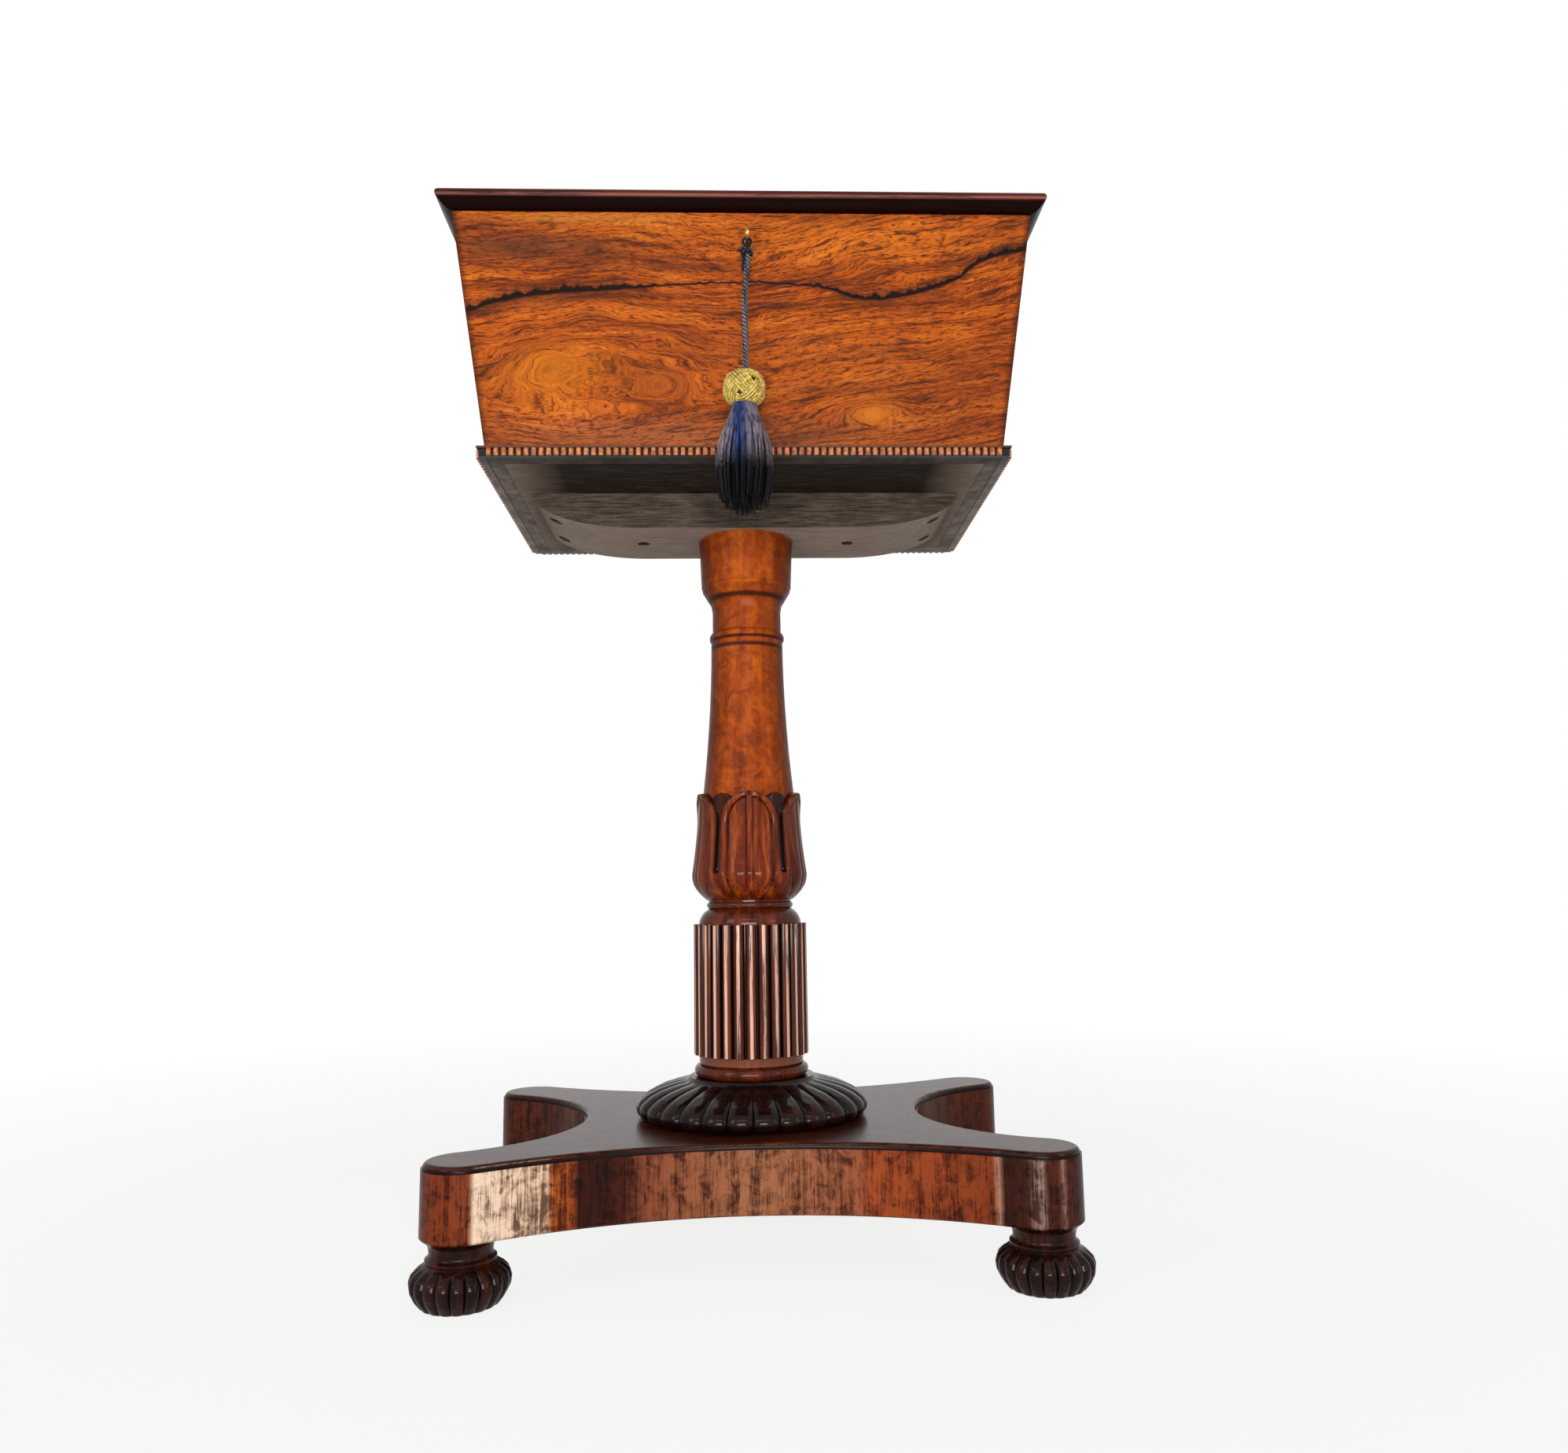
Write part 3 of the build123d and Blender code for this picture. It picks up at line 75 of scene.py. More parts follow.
class Recipe:
    """One node tree, built up node by node."""

    def __init__(self, tree: bpy.types.NodeTree) -> None:
        """Start from an empty tree."""
        self.tree = tree
        tree.nodes.clear()

    @classmethod
    def material(cls, name: str) -> "Recipe":
        """Start a new material of that name."""
        made = bpy.data.materials.new(name)
        made.use_nodes = True
        recipe = cls(made.node_tree)
        recipe.made = made
        return recipe

    def put(self, kind: str, inputs: dict | None = None, out: int | str = 0, stops=(), **settings):
        """Add a node with its settings and links.

        Args:
            kind: Node type without its "ShaderNode" prefix.
            inputs: Socket index or name to a value or to another node's output.
            out: Which output to return.
            stops: Places and tones of a colour ramp, or points of a curve.
            settings: The node's own properties.

        Returns:
            The chosen output socket.
        """
        node = self.tree.nodes.new("ShaderNode" + kind)
        for key, value in settings.items():
            setattr(node, key, value)
        for key, value in (inputs or {}).items():
            if isinstance(value, bpy.types.NodeSocket):
                self.tree.links.new(value, node.inputs[key])
            else:
                node.inputs[key].default_value = value
        if stops and hasattr(node, "color_ramp"):
            node.color_ramp.elements.remove(node.color_ramp.elements[-1])
            for i, (place, tone) in enumerate(stops):
                element = node.color_ramp.elements.new(place) if i else node.color_ramp.elements[0]
                element.position, element.color = place, linear(tone)
        elif stops:
            curve = node.mapping.curves[0]
            for i, (x, y) in enumerate(stops):
                if 0 < i < len(stops) - 1:
                    curve.points.new(x, y)
                else:
                    curve.points[0 if i == 0 else -1].location = (x, y)
            node.mapping.update()
        return node.outputs[out]

    def math(self, operation: str, *terms, **settings):
        """One step of arithmetic on sockets and numbers."""
        return self.put("Math", dict(enumerate(terms)), operation=operation, **settings)

    def fit(self, value, start, end, low=0.0, high=1.0):
        """Map the range from start to end onto low to high."""
        return self.put("MapRange", {0: value, 1: start, 2: end, 3: low, 4: high})

    def between(self, share, first, second):
        """Go from one value to another by a share."""
        return self.put("Mix", {0: share, 2: first, 3: second}, data_type="FLOAT")

    def blend(self, share, under, over, **settings):
        """Lay a colour, given as a socket or in hex, over another by a share."""
        over = linear(over) if isinstance(over, str) else over
        return self.put("Mix", {0: share, 6: under, 7: over}, out=2, data_type="RGBA", **settings)

    def ramp(self, tone, *stops):
        """Colour a tone from a ramp of places and hex colours."""
        return self.put("ValToRGB", {0: tone}, stops=stops)

    def noise(self, place, scale: float, detail: float, roughness: float = 0.5, distortion: float = 0.0):
        """Fractal noise over a place."""
        inputs = {"Vector": place, "Scale": scale, "Detail": detail, "Roughness": roughness, "Distortion": distortion}
        return self.put("TexNoise", inputs)

    def stretch(self, place, factors):
        """Scale a place axis by axis."""
        return self.put("VectorMath", {0: place, 1: factors}, operation="MULTIPLY")

    def axis(self, place, index: int = 0):
        """One coordinate of a place."""
        return self.put("SeparateXYZ", {0: place}, out=index)

    def position(self):
        """Place on the piece, in millimetres."""
        place = self.put("TexCoord", out="Object")
        return self.put("VectorMath", {0: place, "Scale": 1000.0}, operation="SCALE")

    def shell(self, colour, roughness, relief=None, bump=0.0, **constants) -> bpy.types.Material:
        """Close the tree with a Principled surface.

        Args:
            colour: Base colour, a socket or a linear colour.
            roughness: Base roughness, a socket or a number.
            relief: Height socket for the bump, if any.
            bump: Height of the relief in millimetres.
            constants: Values set on the shader's own sockets.

        Returns:
            The finished material.
        """
        inputs = {"Base Color": colour, "Roughness": roughness}
        if relief is not None:
            inputs["Normal"] = self.put("Bump", {"Strength": 1.0, "Distance": bump * MM, "Height": relief})
        inputs.update({key.replace("_", " "): value for key, value in constants.items()})
        surface = self.put("BsdfPrincipled", inputs)
        self.put_output(surface)
        return self.made

    def put_output(self, surface) -> None:
        """Link the surface to the material's output."""
        node = self.tree.nodes.new("ShaderNodeOutputMaterial")
        self.tree.links.new(surface, node.inputs["Surface"])


# ------------------------------------------------------------------ finishes


def stained_below(r: Recipe, place, colour, half_width: float = 191.0, half_depth: float = 117.8):
    """Stain the faces that look down as the joiner left them: black wash, scuffs and open seams.

    Args:
        r: The material's recipe.
        place: Place on the piece, in millimetres.
        colour: Colour of the faces that look elsewhere.
        half_width: Half the width between the outer seams, in millimetres.
        half_depth: Half the depth between them.

    Returns:
        The colour with the stained faces mixed in, and the share of such a face.
    """
    down = r.axis(r.put("TexCoord", out="Normal"), 2)
    down = r.fit(down, -0.6, -0.9)
    grain = r.noise(place, 0.05, 6.0, 0.65, 0.5)
    wash = r.ramp(grain, (0.36, "#40362F"), (0.5, "#64584E"), (0.62, "#7C6C60"))
    apart = r.put("VectorMath", {0: place}, operation="ABSOLUTE")
    apart = r.put("VectorMath", {0: apart, 1: (half_width, half_depth, 0.0)}, operation="SUBTRACT")
    split = r.axis(apart)
    edge = r.math("MAXIMUM", split, split.node.outputs[1])
    seam = 0.0
    for inset in (0.0, -11.0):
        off = r.math("MULTIPLY_ADD", grain, 1.2, edge)
        off = r.math("SUBTRACT", off, inset + 0.6)
        off = r.math("ABSOLUTE", off)
        line = r.fit(off, 0.9, 0.3, 0.0, 0.9)
        seam = r.math("MAXIMUM", line, seam)
    wash = r.blend(seam, wash, "#0B0908")
    # Faces that look down are darker towards the front edge.
    front = r.axis(place, 1)
    front = r.fit(front, -98.0, -110.0, 0.0, 0.7)
    wash = r.blend(front, wash, "#1A1310")
    return r.blend(down, colour, wash), down


class Grain(Enum):
    """Axis that the wood's fibres run along."""

    X = 0
    Y = 1
    Z = 2


@dataclass(frozen=True)
class Eye:
    """A knot's oval rings, in millimetres on the board."""

    run: float
    rise: float
    half_length: float
    half_height: float


@dataclass(frozen=True)
class Cloud:
    """A soft patch of other-coloured wood, in millimetres on the board."""

    run: float
    rise: float
    half_length: float
    half_height: float
    tone: str
    share: float
    calm: float = 0.0


@dataclass(frozen=True)
class MarbledRosewood:
    """Rio rosewood veneer, knife-cut through a knotty log and French polished: rings bend round pale eyes."""

    name: str
    grain: Grain
    eyes: tuple[Eye, ...] = ()
    clouds: tuple[Cloud, ...] = ()
    vein: tuple[tuple[float, float, float], ...] = ()
    half_length: float = 215.0
    top_half: float = 214.9
    slope: float = 0.2
    low: float = 660.0
    high: float = 760.0
    flat: bool = False

    def oval(self, r: Recipe, run, rise, wobble, patch: Eye | Cloud):
        """Squared distance from a patch's middle, 1 at its rim.

        Args:
            r: The material's recipe.
            run: Place along the fibres, in millimetres.
            rise: Place up the board.
            wobble: Noise that makes the rim uneven.
            patch: The patch.

        Returns:
            The distance socket.
        """
        square = wobble
        for place, middle, half in ((run, patch.run, patch.half_length), (rise, patch.rise, patch.half_height)):
            away = r.math("MULTIPLY_ADD", place, 1 / half, -middle / half)
            away = r.math("MULTIPLY", away, away)
            square = r.math("ADD", away, square)
        return r.math("MAXIMUM", square, 0.0)

    def crack(self, r: Recipe, run, rise, ripple, colour):
        """Draw the log's old split, filled black, with its stain to both sides.

        Args:
            r: The material's recipe.
            run: Place along the fibres, in millimetres.
            rise: Place up the board.
            ripple: Noise that makes the split uneven.
            colour: Colour of the wood.

        Returns:
            The colour with the split drawn in.
        """
        span, tall = 2 * self.half_length, self.high - self.low
        across = r.math("MULTIPLY_ADD", run, 1 / span, 0.5)
        course = tuple((x / span + 0.5, (z - self.low) / tall) for x, z, _ in self.vein)
        width = tuple((x / span + 0.5, half / 10) for x, _, half in self.vein)
        line = r.put("FloatCurve", {"Value": across}, stops=course)
        line = r.math("MULTIPLY_ADD", line, tall, self.low - 2.5)
        line = r.math("MULTIPLY_ADD", ripple, 5.0, line)
        jag = r.put("TexNoise", {"W": run, "Scale": 0.14, "Detail": 2.0, "Roughness": 0.5}, noise_dimensions="1D")
        line = r.math("MULTIPLY_ADD", jag, 4.0, line)
        line = r.math("SUBTRACT", line, 2.0)
        half = r.put("FloatCurve", {"Value": across}, stops=width)
        half = r.math("MULTIPLY", half, 10.0)
        off = r.math("SUBTRACT", rise, line)
        off = r.math("ABSOLUTE", off)
        wide = r.math("MULTIPLY", half, 3.4)
        stain = r.fit(off, wide, 0.3, 0.0, 0.75)
        thick = r.math("MULTIPLY", half, jag)
        thick = r.math("MULTIPLY_ADD", thick, 2.0, 0.25)
        inside = r.math("MULTIPLY", thick, 0.45)
        black = r.fit(off, thick, inside, 0.0, 0.97)
        colour = r.blend(stain, colour, "#4A2416")
        return r.blend(black, colour, "#100603")

    def material(self) -> bpy.types.Material:
        """Build the veneer."""
        r = Recipe.material(self.name)
        place = r.position()
        run = r.axis(place, self.grain.value)
        level = run.node.outputs[2]
        rise = run.node.outputs[1] if self.flat else level
        stretch = [1.0, 1.0, 1.0]
        stretch[self.grain.value] = 0.35
        long_way = r.stretch(place, stretch)
        drift = r.noise(long_way, 0.011, 2.0)
        ripple = r.noise(long_way, 0.07, 3.0)
        height = r.math("MULTIPLY_ADD", drift, 55.0, rise)
        height = r.math("MULTIPLY_ADD", ripple, 9.0, height)
        right = r.math("MAXIMUM", run, 0.0)
        height = r.math("MULTIPLY_ADD", right, -self.slope, height)
        wobble = r.math("MULTIPLY_ADD", ripple, 1.2, -0.6)
        for eye in self.eyes:
            square = self.oval(r, run, rise, wobble, eye)
            reach = r.math("MULTIPLY", square, -0.6)
            reach = r.math("EXPONENT", reach)
            ring = r.math("SQRT", square)
            ring = r.math("MULTIPLY_ADD", ring, eye.half_height, eye.rise)
            height = r.between(reach, height, ring)
        curl = r.noise(long_way, 0.3, 2.0)
        height = r.math("MULTIPLY_ADD", curl, 2.6, height)
        # Growth rings 2 to 15 mm apart, broken up along the fibres; the knife ran nearly level with them.
        sheet = r.put("CombineXYZ", {0: run, 1: height})
        soft = r.stretch(sheet, (0.08, 1.0, 1.0))
        bands = r.noise(soft, 0.07, 3.0, 0.6)
        lines = r.noise(soft, 0.36, 3.0, 0.7)
        tone = r.between(0.5, bands, lines)
        colour = r.ramp(tone, (0.38, "#4E1E0A"), (0.46, "#853A10"), (0.53, "#B05012"), (0.63, "#CC6E1E"))
        quiet = 0.0
        for cloud in self.clouds:
            square = self.oval(r, run, rise, wobble, cloud)
            reach = r.math("MULTIPLY", square, -1.0)
            reach = r.math("EXPONENT", reach)
            reach = r.math("MULTIPLY", reach, cloud.share)
            quiet = r.math("MULTIPLY_ADD", reach, cloud.calm, quiet, use_clamp=True)
            colour = r.blend(reach, colour, cloud.tone)
        # Open pores 0.3 mm wide and 4 mm long show as dark dashes along the fibres.
        fine = r.stretch(sheet, (0.16, 1.0, 1.0))
        pore = r.noise(fine, 0.95, 3.0, 0.7)
        dash = r.fit(pore, 0.49, 0.62, 0.0, 0.85)
        dark = r.fit(lines, 0.46, 0.35, 0.0, 0.85)
        loud = r.math("MULTIPLY_ADD", quiet, -1.0, 1.0)
        dash = r.math("MULTIPLY", dash, loud)
        dark = r.math("MULTIPLY", dark, loud)
        colour = r.blend(dash, colour, "#421A0A")
        colour = r.blend(dark, colour, "#43200F")
        if self.vein:
            colour = self.crack(r, run, rise, ripple, colour)
        # Painted shade: the board darkens along its leaning mitres.
        across = r.math("ABSOLUTE", run)
        lean = r.math("MULTIPLY_ADD", level, -CASE_BATTER, CASE_BATTER * CASE_TOP_Z - self.top_half)
        short = r.math("ADD", across, lean)
        edge = r.fit(short, -5.0, -0.5, 0.0, 0.75)
        colour = r.blend(edge, colour, "#2A0E06")
        colour, bare = stained_below(r, place, colour)
        coat = r.math("MULTIPLY_ADD", bare, -0.1, 0.1)
        rough = r.fit(lines, 0.3, 0.7, 0.5, 0.4)
        return r.shell(
            colour, rough, pore, 0.03, Specular_IOR_Level=0.04, Coat_Weight=coat, Coat_Roughness=0.1
        )


@dataclass(frozen=True)
class StraightRosewood:
    """Rosewood with its fibres along one axis, stained and polished: dark streaks 2 to 10 mm wide in red-brown."""

    name: str
    grain: Grain
    dark: str
    mid: str
    light: str
    coat: float = 0.5
    coat_roughness: float = 0.08
    roughness: float = 0.4
    hollow: str = ""
    scale: float = 0.11
    below: bool = False
    reeds: tuple[float, float] | None = None
    shaded: tuple[float, float] | None = None
    flank: float = 0.0
    painted_shade_bands: tuple[tuple[float, float], ...] = ()
    mottle: float = 0.0

    def material(self) -> bpy.types.Material:
        """Build the wood."""
        r = Recipe.material(self.name)
        place = r.position()
        stretch, fine = [1.0, 1.0, 1.0], [1.0, 1.0, 1.0]
        stretch[self.grain.value], fine[self.grain.value] = 0.06, 0.05
        long_way = r.stretch(place, stretch)
        streak = r.noise(long_way, self.scale, 4.0, 0.6, 0.4)
        thin = r.stretch(place, fine)
        fibre = r.noise(thin, 1.1, 3.0, 0.65)
        tone = r.between(0.35, streak, fibre)
        if self.mottle:
            cloud = r.noise(place, 0.07, 6.0, 0.7, 1.2)
            tone = r.between(self.mottle, tone, cloud)
        colour = r.ramp(tone, (0.36, self.dark), (0.5, self.mid), (0.64, self.light))
        pore = r.fit(fibre, 0.56, 0.7, 0.0, 0.6)
        colour = r.blend(pore, colour, self.dark)
        if self.hollow:
            # Painted shade, with old wax and dust: the carver's cuts are darkened by their depth.
            depth = r.put("Attribute", out="Fac", attribute_name=self.hollow)
            colour = r.blend(depth, colour, "#0E0504")
        coat = self.coat
        if self.shaded:
            # Painted shade: the cove that looks down under the nose is darkened to near black and its coat thinned; a
            # painted highlight runs along the nose just above it.
            level = r.axis(place, 2)
            nose_highlight = r.math("COMPARE", level, self.shaded[0] + 1.1, 0.9)
            patchy = r.fit(tone, 0.4, 0.55, 0.0, 0.8)
            nose_highlight = r.math("MULTIPLY", nose_highlight, patchy)
            colour = r.blend(nose_highlight, colour, "#8C5048")
            down = r.fit(level, self.shaded[0], self.shaded[1], 0.0, 0.95)
            colour = r.blend(down, colour, "#0C0201")
            coat = r.math("MULTIPLY_ADD", down, -self.coat, self.coat)
        if self.flank:
            # Painted shade: the flanks of the turning are darker than its front and back.
            level = r.stretch(place, (1.0, 1.0, 0.0))
            level = r.put("VectorMath", {0: level}, operation="NORMALIZE")
            aside = r.axis(level)
            aside = r.math("ABSOLUTE", aside)
            aside = r.fit(aside, 0.45, 1.0, 0.0, self.flank)
            colour = r.blend(aside, colour, "#2A0C05")
        # Painted shade: dark bands at the lips of the mouldings and at the top of the capital under the bearer.
        for height, reach in self.painted_shade_bands:
            near = r.axis(place, 2)
            near = r.math("SUBTRACT", near, height)
            near = r.math("ABSOLUTE", near)
            near = r.fit(near, reach, 0.4 * reach, 0.0, 0.85)
            colour = r.blend(near, colour, "#160603")
        if self.reeds:
            # Painted highlight and wear: the reeds' crests are pale. Painted shade: the quirks between them are black.
            # The fillet below the reeds is paler, partly painted highlight and partly wear.
            rise = r.axis(place, 2)
            level = r.stretch(place, (1.0, 1.0, 0.0))
            out = r.put("VectorMath", {0: level}, out="Value", operation="LENGTH")
            above = r.math("GREATER_THAN", rise, self.reeds[0])
            under = r.math("LESS_THAN", rise, self.reeds[1])
            zone = r.math("MULTIPLY", above, under)
            quirk = r.fit(out, 43.8, 42.6)
            quirk = r.math("MULTIPLY", quirk, zone)
            colour = r.blend(quirk, colour, "#0C0403")
            crest_highlight_and_wear = r.fit(out, 44.56, 44.7, 0.0, 0.95)
            patchy = r.fit(tone, 0.38, 0.5)
            crest_highlight_and_wear = r.math("MULTIPLY", crest_highlight_and_wear, patchy)
            crest_highlight_and_wear = r.math("MULTIPLY", crest_highlight_and_wear, zone)
            colour = r.blend(crest_highlight_and_wear, colour, "#DCB09A")
            fillet_highlight_and_wear = r.math("COMPARE", rise, self.reeds[0] - 3.6, 3.0)
            fillet_highlight_and_wear = r.math("MULTIPLY", fillet_highlight_and_wear, 0.35)
            colour = r.blend(fillet_highlight_and_wear, colour, "#9A6048")
        if self.below:
            colour, bare = stained_below(r, place, colour)
            coat = r.math("MULTIPLY_ADD", bare, -self.coat, self.coat)
        wear = r.noise(place, 0.04, 4.0)
        rough = r.fit(wear, 0.3, 0.7, self.roughness - 0.08, self.roughness + 0.1)
        return r.shell(
            colour, rough, fibre, 0.03, Specular_IOR_Level=0.04, Coat_Weight=coat, Coat_Roughness=self.coat_roughness
        )


@dataclass(frozen=True)
class PlatformVeneer:
    """Rosewood veneer: upright grain round the edge with painted reflections of its lobes' sheen laid in, long grain
    on top.
    """

    name: str = "platform_veneer_french_polished"
    leaves: tuple[tuple[float, str], ...] = (
        (0.0, "#6A2A12"),
        (0.088, "#7A3618"),
        (0.094, "#E8CBB2"),
        (0.19, "#DCB898"),
        (0.196, "#A8561F"),
        (0.228, "#94441A"),
        (0.234, "#300E04"),
        (0.3, "#40160A"),
        (0.34, "#83452B"),
        (0.5, "#97603F"),
        (0.66, "#8E4E30"),
        (0.68, "#94421C"),
        (0.856, "#7A3416"),
        (0.8625, "#A87860"),
        (0.87, "#341209"),
        (0.902, "#3A160C"),
        (0.909, "#846458"),
        (0.922, "#94786C"),
        (0.928, "#401A10"),
        (0.948, "#4E2012"),
        (0.953, "#846458"),
        (0.959, "#4E2012"),
        (1.0, "#2E100A"),
    )
    mould_z: float = 86.2

    def material(self) -> bpy.types.Material:
        """Build the veneer."""
        r = Recipe.material(self.name)
        place = r.position()
        run = r.axis(place)
        side = r.stretch(place, (1.0, 1.0, 0.045))
        top = r.stretch(place, (0.06, 1.0, 1.0))
        normal = r.put("NewGeometry", out="Normal")
        upward = r.axis(normal, 2)
        upward = r.fit(upward, 0.35, 0.75)
        # Short leaves of veneer, each of another tone; the palest steps are painted reflections, the polish's sheen on
        # the lobes.
        across = r.math("MULTIPLY_ADD", run, 1 / 440.0, 0.5)
        leaf = r.ramp(across, *self.leaves)
        behind = r.math("GREATER_THAN", run.node.outputs[1], 20.0)
        leaf = r.blend(behind, leaf, "#54230F")
        streak = r.noise(side, 0.13, 5.0, 0.7, 0.3)
        fibre = r.noise(side, 0.9, 3.0, 0.7)
        tone = r.between(0.4, streak, fibre)
        mottle = r.noise(place, 0.09, 6.0, 0.7, 0.8)
        tone = r.between(0.4, tone, mottle)
        dark = r.fit(tone, 0.54, 0.44, 0.0, 0.9)
        edge = r.blend(1.0, leaf, "#52281C", blend_type="MULTIPLY")
        edge = r.blend(dark, leaf, edge)
        crackle = r.put("TexVoronoi", {"Vector": place, "Scale": 0.12}, out="Distance", feature="DISTANCE_TO_EDGE")
        crackle = r.fit(crackle, 0.03, 0.0, 0.0, 0.18)
        edge = r.blend(crackle, edge, "#2A1008")
        long_grain = r.noise(top, 0.3, 5.0, 0.65)
        deck = r.ramp(long_grain, (0.35, "#180804"), (0.5, "#34120A"), (0.68, "#542816"))
        colour = r.blend(upward, edge, deck)
        # The moulded edge under the top is darkened to near black where it does not face up.
        moulded = r.fit(run.node.outputs[2], self.mould_z - 0.4, self.mould_z)
        level = r.math("MULTIPLY_ADD", upward, -1.0, 1.0)
        moulded = r.math("MULTIPLY", moulded, level)
        colour = r.blend(moulded, colour, "#180A07")
        rough = r.fit(fibre, 0.3, 0.7, 0.25, 0.4)
        coat = r.math("MULTIPLY_ADD", upward, 0.04, 0.08)
        return r.shell(colour, rough, fibre, 0.02, Specular_IOR_Level=0.06, Coat_Weight=coat, Coat_Roughness=0.12)


@dataclass(frozen=True)
class StainedBoard:
    """Softwood washed over with black stain and left unpolished: dull grey-brown with scuffs and dents."""

    name: str = "stained_underside_board"
    dark: str = "#17120F"
    light: str = "#51473D"
    mid: str = "#302923"
    under: str = ""
    ends: str = ""

    def material(self) -> bpy.types.Material:
        """Build the board."""
        r = Recipe.material(self.name)
        place = r.position()
        along = r.stretch(place, (0.08, 1.0, 1.0))
        grain = r.noise(along, 0.6, 5.0, 0.7)
        cloud = r.noise(place, 0.03, 4.0)
        tone = r.between(0.22, grain, cloud)
        colour = r.ramp(tone, (0.32, self.dark), (0.5, self.mid), (0.68, self.light))
        # Painted light: faces that look down are paler, as if lit from the floor below.
        if self.under:
            down = r.axis(r.put("TexCoord", out="Normal"), 2)
            down = r.fit(down, -0.6, -0.95, 0.0, 0.8)
            down = r.math("MULTIPLY", down, tone)
            colour = r.blend(down, colour, self.under)
        # Painted light: the board's far ends are paler than its middle.
        if self.ends:
            far = r.axis(place)
            far = r.math("ABSOLUTE", far)
            far = r.fit(far, 140.0, 178.0)
            far = r.math("MULTIPLY", far, tone)
            colour = r.blend(far, colour, self.ends)
        scuff = r.noise(place, 0.25, 2.0, 0.5, 2.0)
        spot = r.fit(scuff, 0.68, 0.74, 0.0, 0.5)
        colour = r.blend(spot, colour, "#6E5F50")
        return r.shell(colour, 0.75, grain, 0.08, Specular_IOR_Level=0.06)


@dataclass(frozen=True)
class BeadWood:
    """Turned bead strip: the crowns are rubbed pale orange, the gaps behind them are black as painted shade."""

    name: str
    grain: Grain
    face: float
    outward: int
    cap_z: float = 585.5

    def material(self) -> bpy.types.Material:
        """Build the wood."""
        r = Recipe.material(self.name)
        place = r.position()
        away = r.axis(place, 1 - self.grain.value)
        rise = away.node.outputs[2]
        depth = r.math("MULTIPLY_ADD", away, -self.outward, self.outward * self.face)
        crown = r.fit(depth, 2.1, 1.2)
        # Painted shade: the crowns go black within 1.2 mm under the cap, as do the gaps behind them.
        under_cap = r.fit(rise, self.cap_z, self.cap_z - 1.2)
        crown = r.math("MULTIPLY", crown, under_cap)
        mottle = r.noise(place, 0.35, 3.0)
        warm = r.ramp(mottle, (0.35, "#8E4A28"), (0.6, "#C87C50"))
        cap = r.fit(rise, self.cap_z - 0.1, self.cap_z)
        dull = r.blend(cap, linear("#120705"), "#5E3322")
        colour = r.blend(crown, dull, warm)
        colour, bare = stained_below(r, place, colour)
        coat = r.math("MULTIPLY_ADD", bare, -0.4, 0.4)
        return r.shell(colour, 0.4, mottle, 0.05, Specular_IOR_Level=0.1, Coat_Weight=coat, Coat_Roughness=0.15)


@dataclass(frozen=True)
class AgedMetal:
    """Cast and filed cabinet metal under old lacquer: soft glints with brown tarnish in patches."""

    name: str
    clean: str
    tarnish: str

    def material(self) -> bpy.types.Material:
        """Build the metal."""
        r = Recipe.material(self.name)
        place = r.position()
        cloud = r.noise(place, 0.35, 5.0, 0.6)
        colour = r.ramp(cloud, (0.38, self.tarnish), (0.6, self.clean))
        rough = r.fit(cloud, 0.3, 0.7, 0.45, 0.25)
        return r.shell(colour, rough, cloud, 0.02, Metallic=1.0)


@dataclass(frozen=True)
class ClearGlass:
    """Pressed clear glass with a faint green edge and tiny waves from the mould."""

    name: str = "pressed_clear_glass"

    def material(self) -> bpy.types.Material:
        """Build the glass."""
        r = Recipe.material(self.name)
        wave = r.noise(r.position(), 0.08, 1.0)
        return r.shell(
            linear("#EEF5F2"), 0.03, wave, 0.05, Transmission_Weight=1.0, IOR=1.5
        )


@dataclass(frozen=True)
class TwistedSilk:
    """Silk thread laid up from plies: each ply carries a painted pale lilac highlight, with dark navy between them."""

    name: str
    dark: str
    light: str
    turns: float
    plies: int = 2
    fade: tuple[float, float] | None = None
    blue_x: float = 0.0

    def material(self) -> bpy.types.Material:
        """Build the thread; its pattern follows the tube's own UV map."""
        r = Recipe.material(self.name)
        around = r.axis(r.put("UVMap", uv_map="UVMap"))
        along = around.node.outputs[1]
        turn = r.math("MULTIPLY", around, float(self.plies))
        turn = r.math("MULTIPLY_ADD", along, self.turns * self.plies, turn)
        turn = r.math("MULTIPLY", turn, math.tau)
        ply = r.math("SINE", turn)
        shine = r.fit(ply, -1.0, 0.6, 0.2, 1.0)
        place = r.position()
        uneven = r.noise(place, 0.5, 3.0)
        upright = r.stretch(place, (1.0, 1.0, 0.12))
        lock = r.noise(upright, 0.42, 1.0)
        patchy = r.fit(lock, 0.36, 0.56, 0.3, 1.0)
        shine = r.math("MULTIPLY", shine, patchy)
        pale = linear(self.light)
        # Painted shade: the highlight fades out over the lower skirt; in a band down the middle the painted highlight
        # is blue.
        if self.fade:
            rise = r.axis(place, 2)
            run = rise.node.outputs[0]
            wobble = r.math("MULTIPLY_ADD", uneven, 22.0, rise)
            lit = r.fit(wobble, self.fade[0], self.fade[1], 0.02, 1.0)
            middle = r.math("MULTIPLY_ADD", run, 1.0 / 6.5, -self.blue_x / 6.5)
            middle = r.math("MULTIPLY", middle, middle)
            middle = r.math("MULTIPLY", middle, -1.0)
            middle = r.math("EXPONENT", middle)
            pale = r.blend(middle, pale, "#3C5EB4")
            shine = r.math("MULTIPLY", shine, lit)
        # The grooves between the strands hold no light.
        groove = r.put("Attribute", out="Fac", attribute_name="hollow")
        groove = r.math("MULTIPLY_ADD", groove, -1.0, 1.0)
        shine = r.math("MULTIPLY", shine, groove)
        colour = r.blend(shine, linear(self.dark), pale)
        return r.shell(
            colour, 0.5, ply, 0.1, Specular_IOR_Level=0.2
        )


